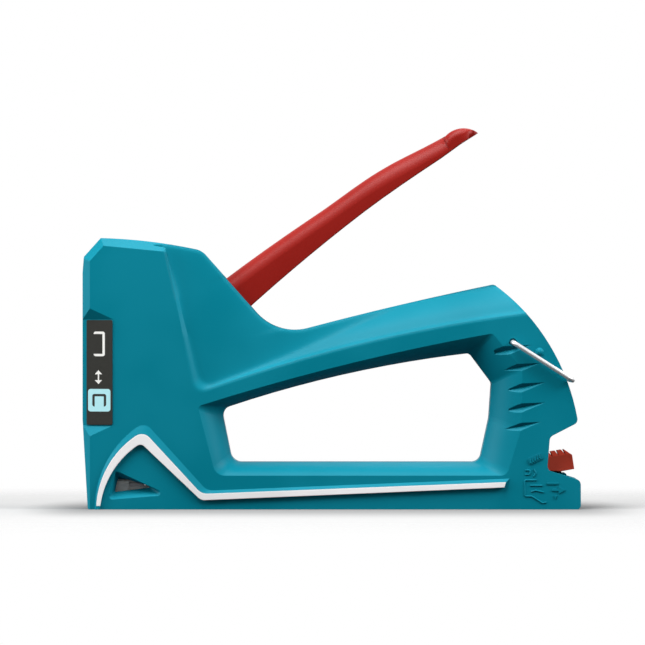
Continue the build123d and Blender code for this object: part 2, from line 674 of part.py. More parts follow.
# ---------------------------------------------------------------- lever and its pivot
def lever_side():
    """Side outline of the lever at rest: fork arm, pivot boss, handle and the hump at its tip."""
    arm = Vector(*PIVOT) - Vector(*FORK_NOSE)
    across = Vector(-arm.Y, arm.X).normalized()
    with BuildSketch(Plane.XZ) as outline:
        with BuildLine():
            ThreePointArc(LEVER_TOP_START, LEVER_TOP_MIDDLE, LEVER_NOTCH)
            Line(LEVER_NOTCH, LEVER_NOTCH_RISE)
            ThreePointArc(LEVER_NOTCH_RISE, LEVER_HUMP, LEVER_TIP)
            ThreePointArc(LEVER_TIP, LEVER_LOW_MIDDLE, LEVER_LOW_START)
            Line(LEVER_LOW_START, LEVER_TOP_START)
        make_face()
        with Locations(PIVOT):
            Circle(LEVER_BOSS_RADIUS)
        with Locations(FORK_NOSE):
            Circle(FORK_NOSE_RADIUS)
        with BuildLine():
            Polyline(
                Vector(*PIVOT) + across * LEVER_BOSS_RADIUS,
                Vector(*FORK_NOSE) + across * FORK_NOSE_RADIUS,
                Vector(*FORK_NOSE) - across * FORK_NOSE_RADIUS,
                Vector(*PIVOT) - across * LEVER_BOSS_RADIUS,
                LEVER_LOW_START,
                LEVER_TOP_START,
                close=True,
            )
        make_face()
    return outline.sketch


def inset_top(inset):
    """The three points of the handle's top edge, moved inwards."""
    axis = (Vector(*LEVER_NOTCH) - Vector(*LEVER_TOP_START)).normalized()
    inward = Vector(axis.Y, -axis.X) * inset
    return [Vector(*point) + inward for point in (LEVER_TOP_START, LEVER_TOP_MIDDLE, LEVER_NOTCH)]


def lever_hollow():
    """Side outline of what is open between the lever's side walls: under its web, and the whole fork."""
    start, middle, end = inset_top(LEVER_GAUGE)
    axis = (end - start).normalized()
    inward = Vector(axis.Y, -axis.X)
    fork_x = PIVOT[0] - 2 * FORK_REACH
    fork_z = start.Y + FORK_REACH
    with BuildSketch(Plane.XZ) as hollow:
        with BuildLine():
            ThreePointArc(start, middle, end)
            Polyline(end, end + axis * LEVER_TIP_HOLLOW, end + inward * LEVER_DEPTH, (fork_x, 0),
                     (fork_x, fork_z), (start.X, fork_z), start)
        make_face()
    return hollow.sketch


def top_corner(points, half, radius, side):
    """What rounding takes from a corner along an arc through points; side is -1 left, 1 right."""
    with BuildPart() as corner:
        with BuildLine(Plane.XZ) as ridge:
            arc = ThreePointArc(*points)
            Line(arc @ 0 - (arc % 0) * CORNER_OVERRUN, arc @ 0)
            Line(arc @ 1, arc @ 1 + (arc % 1) * CORNER_OVERRUN)
        path = ridge.wires()[0]
        with BuildSketch(Plane(origin=path @ 0, x_dir=(0, side, 0), z_dir=(path % 0) * side)):
            with Locations((half, 0)):
                Rectangle(2 * radius, 2 * radius)
            with Locations((half - radius, -radius)):
                Circle(radius, mode=Mode.SUBTRACT)
        sweep(path=path)
    return corner.part


def tip_corners():
    """What rounding takes from the lever's tip, seen from above."""
    with BuildPart() as corners:
        with BuildSketch(Plane.XY):
            for side in (-1, 1):
                with Locations((LEVER_TIP[0], side * LEVER_HALF)):
                    Rectangle(2 * TIP_ROUND, 2 * TIP_ROUND)
            for side in (-1, 1):
                with Locations((LEVER_TIP[0] - TIP_ROUND, side * (LEVER_HALF - TIP_ROUND))):
                    Circle(TIP_ROUND, mode=Mode.SUBTRACT)
        extrude(amount=2 * LEVER_TIP[1])
    return corners.part


with BuildPart() as lever_inside:
    extrude(lever_hollow(), amount=LEVER_INNER, both=True)
    for side in (-1, 1):
        add(
            top_corner(inset_top(LEVER_GAUGE), LEVER_INNER, LEVER_ROUND - LEVER_GAUGE, side),
            mode=Mode.SUBTRACT,
        )

with BuildPart() as lever:
    extrude(lever_side(), amount=LEVER_HALF, both=True)
    for side in (-1, 1):
        add(top_corner(inset_top(0), LEVER_HALF, LEVER_ROUND, side), mode=Mode.SUBTRACT)
        add(
            top_corner((LEVER_NOTCH_RISE, LEVER_HUMP, LEVER_TIP), LEVER_HALF, HUMP_ROUND, side),
            mode=Mode.SUBTRACT,
        )
    add(tip_corners(), mode=Mode.SUBTRACT)
    add(lever_inside.part, mode=Mode.SUBTRACT)
    with BuildSketch(Plane.XZ):
        with Locations(PIVOT):
            Circle(PIN_RADIUS + PIN_FIT)
    extrude(amount=LEVER_HALF, both=True, mode=Mode.SUBTRACT)
save(lever.part, "lever")

with BuildPart() as lever_pin:
    with BuildSketch(Plane.XZ):
        with Locations(PIVOT):
            Circle(PIN_RADIUS)
    extrude(amount=PIN_HALF, both=True)
    chamfer(lever_pin.edges().filter_by(GeomType.CIRCLE), EDGE_ROUND / 2)
save(lever_pin.part, "lever_pin")

with BuildPart() as lever_bush:
    with BuildSketch(Plane.XZ):
        with Locations(PIVOT):
            Circle(PIN_RADIUS + PIN_FIT + BUSH_WALL)
            Circle(PIN_RADIUS + PIN_FIT, mode=Mode.SUBTRACT)
    extrude(amount=LEVER_INNER - RUN, both=True)
save(lever_bush.part, "lever_bush")


def coil(name, start, axis, span, radius, wire, turns, leg=0.0):
    """Wire spring from start along axis, with straight legs of length leg at both ends."""
    with BuildPart() as spring:
        with BuildLine() as path:
            turn = Helix(span / turns, span, radius, center=start, direction=axis)
            if leg:
                Line(turn @ 0, turn @ 0 - (turn % 0) * leg)
                Line(turn @ 1, turn @ 1 + (turn % 1) * leg)
        first = path.wires()[0]
        with BuildSketch(Plane(origin=first @ 0, z_dir=first % 0)):
            Circle(wire / 2)
        sweep(path=first, is_frenet=True)
    save(spring.part, name)


return_span = RETURN_PITCH * RETURN_TURNS
coil(
    "lever_return_spring", (PIVOT[0], -return_span / 2, PIVOT[1]), (0, 1, 0), return_span,
    RETURN_RADIUS, RETURN_WIRE, RETURN_TURNS, RETURN_LEG,
)

# ---------------------------------------------------------------- hammer, blade and power spring
with BuildPart() as hammer:
    with BuildSketch(Plane.XY.offset(HAMMER_LOW_Z)):
        with Locations((SPRING_X, 0)):
            Circle(CUP_OUTER)
        with Locations(((BLADE_REAR_X + SPRING_X) / 2, 0)):
            Rectangle(SPRING_X - BLADE_REAR_X, 2 * HAMMER_HALF)
    extrude(amount=HAMMER_HIGH_Z - HAMMER_LOW_Z)
    ear_rear_x = FORK_NOSE[0] + EAR_REACH
    with BuildSketch(Plane.XY.offset(EAR_LOW_Z)):
        with Locations(((BLADE_REAR_X + ear_rear_x) / 2, 0)):
            Rectangle(ear_rear_x - BLADE_REAR_X, 2 * EAR_HALF)
    extrude(amount=EAR_THICK)
    with BuildSketch(Plane.XY.offset(HAMMER_LOW_Z + CUP_FLOOR)):
        with Locations((SPRING_X, 0)):
            Circle(CUP_INNER)
    extrude(amount=HAMMER_HIGH_Z, mode=Mode.SUBTRACT)
    with BuildSketch(Plane.YZ.offset(BLADE_REAR_X)):
        with Locations(*[(0, height) for height in RIVET_HEIGHTS]):
            Circle(RIVET_RADIUS)
    extrude(amount=RIVET_LENGTH - BLADE_THICK, mode=Mode.SUBTRACT)
save(hammer.part, "hammer")

with BuildPart() as driver_blade:
    with BuildSketch(Plane.YZ.offset(BLADE_FRONT_X)):
        with Locations((0, (BLADE_TIP_Z + BLADE_TOP_Z) / 2)):
            Rectangle(2 * BLADE_HALF, BLADE_TOP_Z - BLADE_TIP_Z)
        with Locations(*[(0, height) for height in RIVET_HEIGHTS]):
            Circle(RIVET_RADIUS, mode=Mode.SUBTRACT)
    extrude(amount=BLADE_THICK)
    chamfer(driver_blade.edges().filter_by(Axis.X).group_by(Axis.Z)[-1], EDGE_ROUND)
save(driver_blade.part, "driver_blade")

with BuildPart() as hammer_rivets:
    with BuildSketch(Plane.YZ.offset(BLADE_FRONT_X)):
        with Locations(*[(0, height) for height in RIVET_HEIGHTS]):
            Circle(RIVET_RADIUS)
    extrude(amount=RIVET_LENGTH)
save(hammer_rivets.part, "hammer_rivets")

spring_foot_z = HAMMER_LOW_Z + CUP_FLOOR + SEAT + SPRING_WIRE / 2
coil(
    "power_spring", (SPRING_X, 0, spring_foot_z), (0, 0, 1),
    SPRING_SEAT_Z - SEAT - SPRING_WIRE / 2 - spring_foot_z, SPRING_RADIUS, SPRING_WIRE, SPRING_TURNS,
)

# ---------------------------------------------------------------- magazine drawer
with BuildPart() as staple_rail:
    add(side_box((RAIL_FRONT_X, RAIL_LOW_Z), (DRAWER_END_X, RAIL_HIGH_Z), -RAIL_HALF, RAIL_HALF))
    add(
        side_box(
            (RAIL_FRONT_X + SHEET, RAIL_LOW_Z + SHEET), (DRAWER_END_X, RAIL_HIGH_Z),
            SHEET - RAIL_HALF, RAIL_HALF - SHEET,
        ),
        mode=Mode.SUBTRACT,
    )
save(staple_rail.part, "staple_rail")

with BuildPart() as guide_rod:
    with BuildSketch(Plane.YZ.offset(RAIL_FRONT_X + SHEET)):
        with Locations((0, ROD_Z)):
            Circle(ROD_RADIUS)
    extrude(amount=DRAWER_END_X + ROD_SOCKET - RAIL_FRONT_X - SHEET)
save(guide_rod.part, "guide_rod")

with BuildPart() as follower:
    add(
        side_box(
            (RAIL_FRONT_X, RAIL_HIGH_Z - FOLLOWER_DEPTH),
            (RAIL_FRONT_X + FOLLOWER_LENGTH, CHANNEL_WEB_Z - RUN),
            RUN - CROWN_HALF, CROWN_HALF - RUN,
        )
    )
    add(
        side_box(
            (RAIL_FRONT_X, 0), (RAIL_FRONT_X + FOLLOWER_LENGTH, RAIL_HIGH_Z + RUN),
            FOLLOWER_SKIRT + RUN - CROWN_HALF, CROWN_HALF - RUN - FOLLOWER_SKIRT,
        ),
        mode=Mode.SUBTRACT,
    )
    add(
        side_box(
            (FOLLOWER_X, RAIL_LOW_Z + SHEET + RUN),
            (RAIL_FRONT_X + FOLLOWER_LENGTH - SHEET, RAIL_HIGH_Z + RUN),
            SHEET + RUN - RAIL_HALF, RAIL_HALF - SHEET - RUN,
        )
    )
    with BuildSketch(Plane.YZ.offset(RAIL_FRONT_X)):
        with Locations((0, ROD_Z)):
            Circle(ROD_RADIUS + SEAT)
    extrude(amount=FOLLOWER_LENGTH, mode=Mode.SUBTRACT)
save(follower.part, "follower")

feed_start_x = RAIL_FRONT_X + FOLLOWER_LENGTH - SHEET + SEAT + FEED_WIRE / 2
coil(
    "follower_spring", (feed_start_x, 0, ROD_Z), (1, 0, 0), DRAWER_END_X - SEAT - FEED_WIRE / 2 - feed_start_x,
    FEED_RADIUS, FEED_WIRE, FEED_TURNS,
)

stem_x = DRAWER_END_X + DRAWER_END_LENGTH / 2
with BuildPart() as drawer_end:
    end_half = CROWN_HALF - RUN
    add(
        side_box(
            (DRAWER_END_X, RAIL_LOW_Z), (DRAWER_END_X + DRAWER_END_LENGTH, DRAWER_END_Z), -end_half, end_half
        )
    )
    fillet(drawer_end.edges().filter_by(Axis.Y).group_by(Axis.X)[-1], EDGE_ROUND)
    # Stem that carries the knob
    with BuildSketch(Plane.XY.offset(DRAWER_END_Z)):
        with Locations((stem_x, 0)):
            Rectangle(KNOB_STEM[0], 2 * KNOB_STEM[1])
    extrude(amount=KNOB_STEM[2] - DRAWER_END_Z)
    with BuildSketch(Plane.YZ.offset(DRAWER_END_X)):
        with Locations((0, ROD_Z)):
            Circle(ROD_RADIUS)
    extrude(amount=ROD_SOCKET, mode=Mode.SUBTRACT)
save(drawer_end.part, "drawer_end")

with BuildPart() as end_knob:
    with BuildSketch(Plane.XZ):
        with BuildLine():
            Polyline(*KNOB_PROFILE, close=True)
        make_face()
    extrude(amount=KNOB_HALF, both=True)
    top_face = end_knob.faces().sort_by(Axis.Z)[-1]
    chamfer(top_face.edges().filter_by(Axis.Y, reverse=True), KNOB_CHAMFER)
    # Thumb ridges: leaning saw-tooth grooves across the top
    with BuildSketch(Plane.XZ):
        for index in range(KNOB_RIDGES):
            share = KNOB_FIRST_GROOVE + index / KNOB_RIDGES
            tooth_x, tooth_z = blend(KNOB_PROFILE[0], KNOB_PROFILE[1], share)
            with BuildLine():
                Polyline(
                    (tooth_x, tooth_z + KNOB_TOOTH),
                    (tooth_x + KNOB_LEAN, tooth_z - KNOB_GROOVE),
                    (tooth_x - KNOB_TOOTH, tooth_z + KNOB_TOOTH), close=True,
                )
            make_face()
    extrude(amount=KNOB_HALF, both=True, mode=Mode.SUBTRACT)
    with BuildSketch(Plane.XY):
        with Locations((stem_x, 0)):
            Rectangle(KNOB_STEM[0] + 2 * SEAT, 2 * KNOB_STEM[1] + 2 * SEAT)
    extrude(amount=KNOB_STEM[2] + SEAT, mode=Mode.SUBTRACT)
save(end_knob.part, "end_knob")

# ---------------------------------------------------------------- bail
with BuildPart() as wire_bail:
    loop_x = BAIL_PIVOT[0] + BAIL_RADIUS * cos(radians(BAIL_REST_ANGLE))
    loop_z = BAIL_PIVOT[1] + BAIL_RADIUS * sin(radians(BAIL_REST_ANGLE))
    grip_y = FLAT_HALF - BAIL_GRIP
    with BuildLine() as wire_path:
        FilletPolyline(
            (BAIL_PIVOT[0], -grip_y, BAIL_PIVOT[1]),
            (BAIL_PIVOT[0], -BAIL_ARM_Y, BAIL_PIVOT[1]),
            (loop_x, -BAIL_ARM_Y, loop_z),
            (loop_x, BAIL_ARM_Y, loop_z),
            (BAIL_PIVOT[0], BAIL_ARM_Y, BAIL_PIVOT[1]),
            (BAIL_PIVOT[0], grip_y, BAIL_PIVOT[1]),
            radius=BAIL_BEND,
        )
    with BuildSketch(Plane(origin=wire_path.line @ 0, z_dir=wire_path.line % 0)):
        Circle(BAIL_WIRE / 2)
    sweep()
save(wire_bail.part, "wire_bail")
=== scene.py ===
"""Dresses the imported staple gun: moulded halves, painted lever, steel mechanism, plain studio."""

from __future__ import annotations

import logging
import math
from dataclasses import dataclass
from enum import Enum

import bmesh
import bpy
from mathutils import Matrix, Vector

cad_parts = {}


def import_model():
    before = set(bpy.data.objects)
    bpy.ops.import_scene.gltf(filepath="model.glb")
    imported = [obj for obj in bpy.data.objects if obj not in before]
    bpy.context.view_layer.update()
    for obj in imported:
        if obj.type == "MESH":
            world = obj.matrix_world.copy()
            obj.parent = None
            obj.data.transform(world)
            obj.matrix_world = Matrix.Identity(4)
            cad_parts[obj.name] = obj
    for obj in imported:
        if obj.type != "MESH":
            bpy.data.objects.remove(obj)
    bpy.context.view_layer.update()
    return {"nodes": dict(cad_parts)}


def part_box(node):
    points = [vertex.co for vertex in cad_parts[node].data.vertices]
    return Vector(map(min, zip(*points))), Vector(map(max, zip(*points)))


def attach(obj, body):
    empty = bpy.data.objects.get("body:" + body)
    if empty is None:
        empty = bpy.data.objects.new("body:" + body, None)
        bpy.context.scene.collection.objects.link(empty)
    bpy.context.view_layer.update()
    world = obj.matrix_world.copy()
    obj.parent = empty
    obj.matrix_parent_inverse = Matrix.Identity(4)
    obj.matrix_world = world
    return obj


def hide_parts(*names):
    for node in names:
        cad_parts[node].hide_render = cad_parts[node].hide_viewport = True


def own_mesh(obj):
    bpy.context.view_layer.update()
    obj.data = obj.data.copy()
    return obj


LOG = logging.getLogger("staple_gun")
MM = 0.001
MERGE = 0.000002
CLOUD_EDGES = (0.35, 0.65)
ALONG_X = (1.0, 12.0, 12.0)
ALONG_Y = (12.0, 1.0, 12.0)

Colour = tuple[float, float, float]
Spot = tuple[float, float]


def srgb(red: int, green: int, blue: int) -> Colour:
    """Turns an 8-bit display colour into a linear one."""

    def channel(value: int) -> float:
        """Linear value of one 8-bit channel."""
        share = value / 255
        return share / 12.92 if share <= 0.04045 else ((share + 0.055) / 1.055) ** 2.4

    return channel(red), channel(green), channel(blue)


def grey(value: float) -> Colour:
    """Linear grey."""
    return value, value, value


class MathWord(str, Enum):
    """Operations of the Math node that the finishes use."""

    ADD = "ADD"
    SUBTRACT = "SUBTRACT"
    MULTIPLY = "MULTIPLY"
    DIVIDE = "DIVIDE"
    POWER = "POWER"
    MAXIMUM = "MAXIMUM"
    MINIMUM = "MINIMUM"
    ABSOLUTE = "ABSOLUTE"
    GREATER_THAN = "GREATER_THAN"
    LESS_THAN = "LESS_THAN"


class NodeBoard:
    """Node tree of one material, with one method that makes any node."""

    def __init__(self, tree: bpy.types.NodeTree) -> None:
        """Starts on an empty tree."""
        self.tree = tree
        tree.nodes.clear()

    def node(
        self,
        kind: str,
        settings: dict[str, object] | None = None,
        values: dict[str | int, object] | None = None,
    ) -> bpy.types.Node:
        """Makes a node.

        Args:
            kind: The node's type name.
            settings: Attributes that are set before the sockets.
            values: Socket name or number to a number, colour, socket or Field.

        Returns:
            The new node.
        """
        made = self.tree.nodes.new(kind)
        for name, value in (settings or {}).items():
            setattr(made, name, value.value if isinstance(value, Enum) else value)
        for key, value in (values or {}).items():
            socket = made.inputs[key]
            if isinstance(value, Field):
                self.tree.links.new(value.socket, socket)
            elif isinstance(value, bpy.types.NodeSocket):
                self.tree.links.new(value, socket)
            elif isinstance(value, tuple) and socket.type == "RGBA":
                socket.default_value = (*value, 1.0)
            else:
                socket.default_value = value
        return made

    def field(self, kind: str, output: str | int = 0, **parts: object) -> Field:
        """Makes a node and wraps one of its outputs.

        Args:
            kind: The node's type name.
            output: Name or number of the output socket.
            **parts: The settings and values of node().

        Returns:
            The wrapped output.
        """
        return Field(self, self.node(kind, **parts).outputs[output])

    def place(self) -> Field:
        """Place on the piece, in metres."""
        return self.field("ShaderNodeTexCoord", "Object")

    def axes(self, point: Field) -> tuple[Field, Field, Field]:
        """The three coordinates of a point."""
        split = self.node("ShaderNodeSeparateXYZ", values={0: point})
        return tuple(Field(self, split.outputs[index]) for index in range(3))

    def noise(self, scale: float, detail: float = 2.0, rough: float = 0.5) -> Field:
        """Noise from 0 to 1 on the piece's own coordinates; scale is in features per metre."""
        return self.field(
            "ShaderNodeTexNoise",
            "Fac",
            values={"Vector": self.place(), "Scale": scale, "Detail": detail, "Roughness": rough},
        )

    def mix(self, factor: Field | float, low: object, high: object) -> Field:
        """Mixes two colours or colour fields by a factor."""
        return self.field(
            "ShaderNodeMix",
            2,
            settings={"data_type": "RGBA"},
            values={0: factor, 6: low, 7: high},
        )

    def softened(self, radius: float, samples: int = 6) -> Field:
        """Normal that is rounded over a radius in metres."""
        return self.field(
            "ShaderNodeBevel", "Normal", settings={"samples": samples}, values={"Radius": radius}
        )


class Field:
    """A socket that takes part in Python arithmetic."""

    def __init__(self, board: NodeBoard, socket: bpy.types.NodeSocket) -> None:
        """Wraps a socket of the board's tree."""
        self.board = board
        self.socket = socket

    def _math(self, word: MathWord, left: object, right: object = 0.0) -> Field:
        """Adds a Math node."""
        return self.board.field(
            "ShaderNodeMath", settings={"operation": word}, values={0: left, 1: right}
        )

    def __add__(self, other: object) -> Field:
        """self + other."""
        return self._math(MathWord.ADD, self, other)

    __radd__ = __add__

    def __sub__(self, other: object) -> Field:
        """self - other."""
        return self._math(MathWord.SUBTRACT, self, other)

    def __rsub__(self, other: object) -> Field:
        """other - self."""
        return self._math(MathWord.SUBTRACT, other, self)

    def __mul__(self, other: object) -> Field:
        """self * other."""
        return self._math(MathWord.MULTIPLY, self, other)

    __rmul__ = __mul__

    def __truediv__(self, other: object) -> Field:
        """self / other."""
        return self._math(MathWord.DIVIDE, self, other)

    def __pow__(self, other: object) -> Field:
        """self ** other."""
        return self._math(MathWord.POWER, self, other)

    def __abs__(self) -> Field:
        """Size without the sign."""
        return self._math(MathWord.ABSOLUTE, self)

    def above(self, edge: object) -> Field:
        """1 where self is above edge, else 0."""
        return self._math(MathWord.GREATER_THAN, self, edge)

    def below(self, edge: object) -> Field:
        """1 where self is below edge, else 0."""
        return self._math(MathWord.LESS_THAN, self, edge)

    def at_least(self, other: object) -> Field:
        """The larger of two."""
        return self._math(MathWord.MAXIMUM, self, other)

    def at_most(self, other: object) -> Field:
        """The smaller of two."""
        return self._math(MathWord.MINIMUM, self, other)

    def smooth(self, low: float, high: float) -> Field:
        """Goes smoothly from 0 at low to 1 at high."""
        return self.board.field(
            "ShaderNodeMapRange",
            settings={"interpolation_type": "SMOOTHSTEP"},
            values={0: self, 1: low, 2: high, 3: 0.0, 4: 1.0},
        )


# ---------------------------------------------------------------- grown shapes
class GrowthTree:
    """Geometry Nodes tree with named sizes, which is baked into a plain mesh."""

    def __init__(self, name: str) -> None:
        """Starts a tree that has only its way in and out."""
        self.tree = bpy.data.node_groups.new(name, "GeometryNodeTree")
        self.tree.interface.new_socket("Geometry", in_out="INPUT", socket_type="NodeSocketGeometry")
        self.tree.interface.new_socket("Geometry", in_out="OUTPUT", socket_type="NodeSocketGeometry")
        self.entry = self.tree.nodes.new("NodeGroupInput")
        self.way_out = self.tree.nodes.new("NodeGroupOutput")
        self.sizes: dict[str, float | int] = {}

    def start(self) -> bpy.types.NodeSocket:
        """The geometry that the tree is given."""
        return self.entry.outputs["Geometry"]

    def size(self, name: str, value: float | int) -> bpy.types.NodeSocket:
        """Adds a named input.

        Args:
            name: The input's name.
            value: What the modifier gives it.

        Returns:
            The socket to link from.
        """
        kind = "NodeSocketInt" if isinstance(value, int) else "NodeSocketFloat"
        made = self.tree.interface.new_socket(name, in_out="INPUT", socket_type=kind)
        self.sizes[made.identifier] = value
        return self.entry.outputs[name]

    def node(
        self,
        kind: str,
        settings: dict[str, object] | None = None,
        values: dict[str | int, object] | None = None,
    ) -> bpy.types.NodeSocket:
        """Makes a node.

        Args:
            kind: The node's type name.
            settings: Attributes that are set before the sockets.
            values: Socket name or number to a value or a socket.

        Returns:
            The new node's first output.
        """
        made = self.tree.nodes.new(kind)
        for name, value in (settings or {}).items():
            setattr(made, name, value)
        for key, value in (values or {}).items():
            if isinstance(value, bpy.types.NodeSocket):
                self.tree.links.new(value, made.inputs[key])
            else:
                made.inputs[key].default_value = value
        return made.outputs[0]

    def rounded_path(self, corner: float, steps: int) -> bpy.types.NodeSocket:
        """Curve along the edges that the tree is given, with rounded corners.

        Args:
            corner: Corner radius in millimetres.
            steps: Steps round each corner.

        Returns:
            The curve.
        """
        curve = self.node("GeometryNodeMeshToCurve", values={0: self.start()})
        return self.node(
            "GeometryNodeFilletCurve",
            settings={"mode": "POLY"},
            values={
                "Curve": curve, "Radius": self.size("Corner", corner * MM),
                "Limit Radius": True, "Count": self.size("Corner steps", steps),
            },
        )

    def wire(self, path: bpy.types.NodeSocket, radius: float, sides: int) -> bpy.types.NodeSocket:
        """Round wire along a curve.

        Args:
            path: The curve.
            radius: Radius of the wire in millimetres.
            sides: Faces round the wire.

        Returns:
            The wire.
        """
        profile = self.node(
            "GeometryNodeCurvePrimitiveCircle",
            values={
                "Resolution": self.size("Sides", sides),
                "Radius": self.size("Wire", radius * MM),
            },
        )
        return self.node(
            "GeometryNodeCurveToMesh",
            values={"Curve": path, "Profile Curve": profile, "Fill Caps": True},
        )

    def close(
        self, shape: bpy.types.NodeSocket, material: bpy.types.Material, smooth: bool
    ) -> None:
        """Ends the tree.

        Args:
            shape: What it makes.
            material: Finish of what it makes.
            smooth: Whether its faces are shaded as one curved surface.
        """
        real = self.node("GeometryNodeRealizeInstances", values={"Geometry": shape})
        shaded = self.node(
            "GeometryNodeSetShadeSmooth", values={"Geometry": real, "Shade Smooth": smooth}
        )
        dressed = self.node(
            "GeometryNodeSetMaterial", values={"Geometry": shaded, "Material": material}
        )
        self.tree.links.new(dressed, self.way_out.inputs[0])

    def bake(self, name: str, seed: bpy.types.Mesh) -> bpy.types.Object:
        """Grows the tree on a mesh.

        Args:
            name: Name of the piece.
            seed: Mesh of points, edges or faces that the tree starts from.

        Returns:
            The piece, a plain mesh at the origin.
        """
        host = link(name + "_seed", seed)
        growth = host.modifiers.new("growth", "NODES")
        growth.node_group = self.tree
        for identifier, value in self.sizes.items():
            growth[identifier] = value
        evaluated = host.evaluated_get(bpy.context.evaluated_depsgraph_get())
        mesh = bpy.data.meshes.new_from_object(evaluated)
        bpy.data.objects.remove(host)
        return add_piece(name, mesh)


def link(name: str, data: bpy.types.ID) -> bpy.types.Object:
    """Makes an object of a mesh, lamp or camera and links it to the scene."""
    made = bpy.data.objects.new(name, data)
    bpy.context.scene.collection.objects.link(made)
    return made


def taken(edit: bmesh.types.BMesh, name: str) -> bpy.types.Mesh:
    """Turns an edited mesh into a named one and frees it."""
    mesh = bpy.data.meshes.new(name)
    edit.to_mesh(mesh)
    edit.free()
    return mesh


def loft(rings: list[list[Vector]]) -> bmesh.types.BMesh:
    """Closed body that runs from ring to ring.

    Args:
        rings: Points of each ring, all in the same order and number.

    Returns:
        The body, open for more edits.
    """
    edit = bmesh.new()
    made = [[edit.verts.new(point) for point in ring] for ring in rings]
    for ring, following in zip(made, made[1:]):
        for index in range(len(ring)):
            after = (index + 1) % len(ring)
            edit.faces.new((ring[index], ring[after], following[after], following[index]))
    edit.faces.new(made[0])
    edit.faces.new(reversed(made[-1]))
    bmesh.ops.recalc_face_normals(edit, faces=edit.faces)
    return edit


def add_piece(name: str, mesh: bpy.types.Mesh) -> bpy.types.Object:
    """Puts a mesh into the scene.

    Args:
        name: Name of the piece.
        mesh: Its mesh, in place.

    Returns:
        The new object.
    """
    mesh.name = name
    piece = link(name, mesh)
    LOG.info("%s: %d faces", name, len(mesh.polygons))
    return piece


def graded(stops: tuple[Spot, ...], place: float) -> float:
    """Value at a place, in straight runs from stop to stop.

    Args:
        stops: Place and value of each stop, in order.
        place: A place between the first stop and the last.

    Returns:
        The value.
    """
    for (start, first), (end, last) in zip(stops, stops[1:]):
        if start <= place <= end:
            return first + (last - first) * (place - start) / (end - start)
    raise ValueError(place)


def circle_through(*points: Spot) -> tuple[Vector, float]:
    """Centre and radius of the circle through three points."""
    a, b, c = (Vector(point) for point in points)
    first, second = b - a, c - a
    turn = 2 * first.cross(second)
    out = Vector((
        second.y * first.length_squared - first.y * second.length_squared,
        first.x * second.length_squared - second.x * first.length_squared,
    )) / turn
    return a + out, out.length


def mend(mesh: bpy.types.Mesh) -> None:
    """Merges doubled points and turns all faces outwards."""
    edit = bmesh.new()
    edit.from_mesh(mesh)
    bmesh.ops.remove_doubles(edit, verts=edit.verts, dist=MERGE)
    bmesh.ops.recalc_face_normals(edit, faces=edit.faces)
    edit.to_mesh(mesh)
    edit.free()


def path_mesh(name: str, points: list[Vector], closed: bool = False) -> bpy.types.Mesh:
    """Mesh of edges from point to point.

    Args:
        name: Name of the mesh.
        points: Points in order.
        closed: Whether the last point is joined to the first.

    Returns:
        The mesh.
    """
    edges = [(index, index + 1) for index in range(len(points) - 1)]
    if closed:
        edges.append((len(points) - 1, 0))
    mesh = bpy.data.meshes.new(name)
    mesh.from_pydata(points, edges, [])
    return mesh


# ---------------------------------------------------------------- finishes
@dataclass(frozen=True)
class Surface:
    """What every finish ends in: one Principled shader with its varying inputs."""

    name: str
    metallic: float = 0.0
    specular: float = 0.5
    colour: Colour = (0.5, 0.5, 0.5)

    def build(
        self,
        board: NodeBoard,
        colour: Field | Colour,
        roughness: Field | float,
        height: Field | None = None,
        edge: float = 0.0,
        soft: Field | None = None,
        soft_edge: float = 0.0,
    ) -> None:
        """Joins the shader's inputs.

        Args:
            board: The material's board.
            colour: Base colour.
            roughness: Roughness.
            height: Relief in metres, or None.
            edge: Radius in metres over which sharp edges are softened.
            soft: 1 where edges are softened over soft_edge instead, or None.
            soft_edge: The larger radius, in metres.
        """
        values: dict[str | int, object] = {
            "Base Color": colour,
            "Roughness": roughness,
            "Metallic": self.metallic,
            "Specular IOR Level": self.specular,
        }
        normal = None
        if edge:
            normal = board.softened(edge)
        if soft is not None:
            normal = board.field(
                "ShaderNodeMix", 1, settings={"data_type": "VECTOR"},
                values={0: soft, 4: normal, 5: board.softened(soft_edge, 10)},
            )
        if height is not None:
            relief: dict[str | int, object] = {"Height": height, "Distance": 1.0, "Strength": 1.0}
            if normal is not None:
                relief["Normal"] = normal
            normal = board.field("ShaderNodeBump", "Normal", values=relief)
        if normal is not None:
            values["Normal"] = normal
        shader = board.node("ShaderNodeBsdfPrincipled", values=values)
        board.node("ShaderNodeOutputMaterial", values={"Surface": shader.outputs[0]})

    def clouded(self, board: NodeBoard, cloud: Field, spread: float, lift: float) -> Field:
        """The finish's colour, a little darker and paler in clouds.

        Args:
            board: The material's board.
            cloud: Noise that the clouds follow.
            spread: Share by which the tones differ from the colour.
            lift: What the paler tone has on top.

        Returns:
            The colour.
        """
        deep = tuple(value * (1 - spread) for value in self.colour)
        pale = tuple(min(1.0, value * (1 + spread) + lift) for value in self.colour)
        return board.mix(cloud.smooth(*CLOUD_EDGES), deep, pale)

    def board(self) -> tuple[bpy.types.Material, NodeBoard]:
        """A new material of this finish's name and its board."""
        material = bpy.data.materials.new(self.name)
        material.use_nodes = True
        return material, NodeBoard(material.node_tree)

    def material(self) -> bpy.types.Material:
        """Builds the material; each finish has its own way."""
        raise NotImplementedError(self.name)

    def ready(self) -> bpy.types.Material:
        """The finish's material, built when it is first asked for."""
        return bpy.data.materials.get(self.name) or self.material()


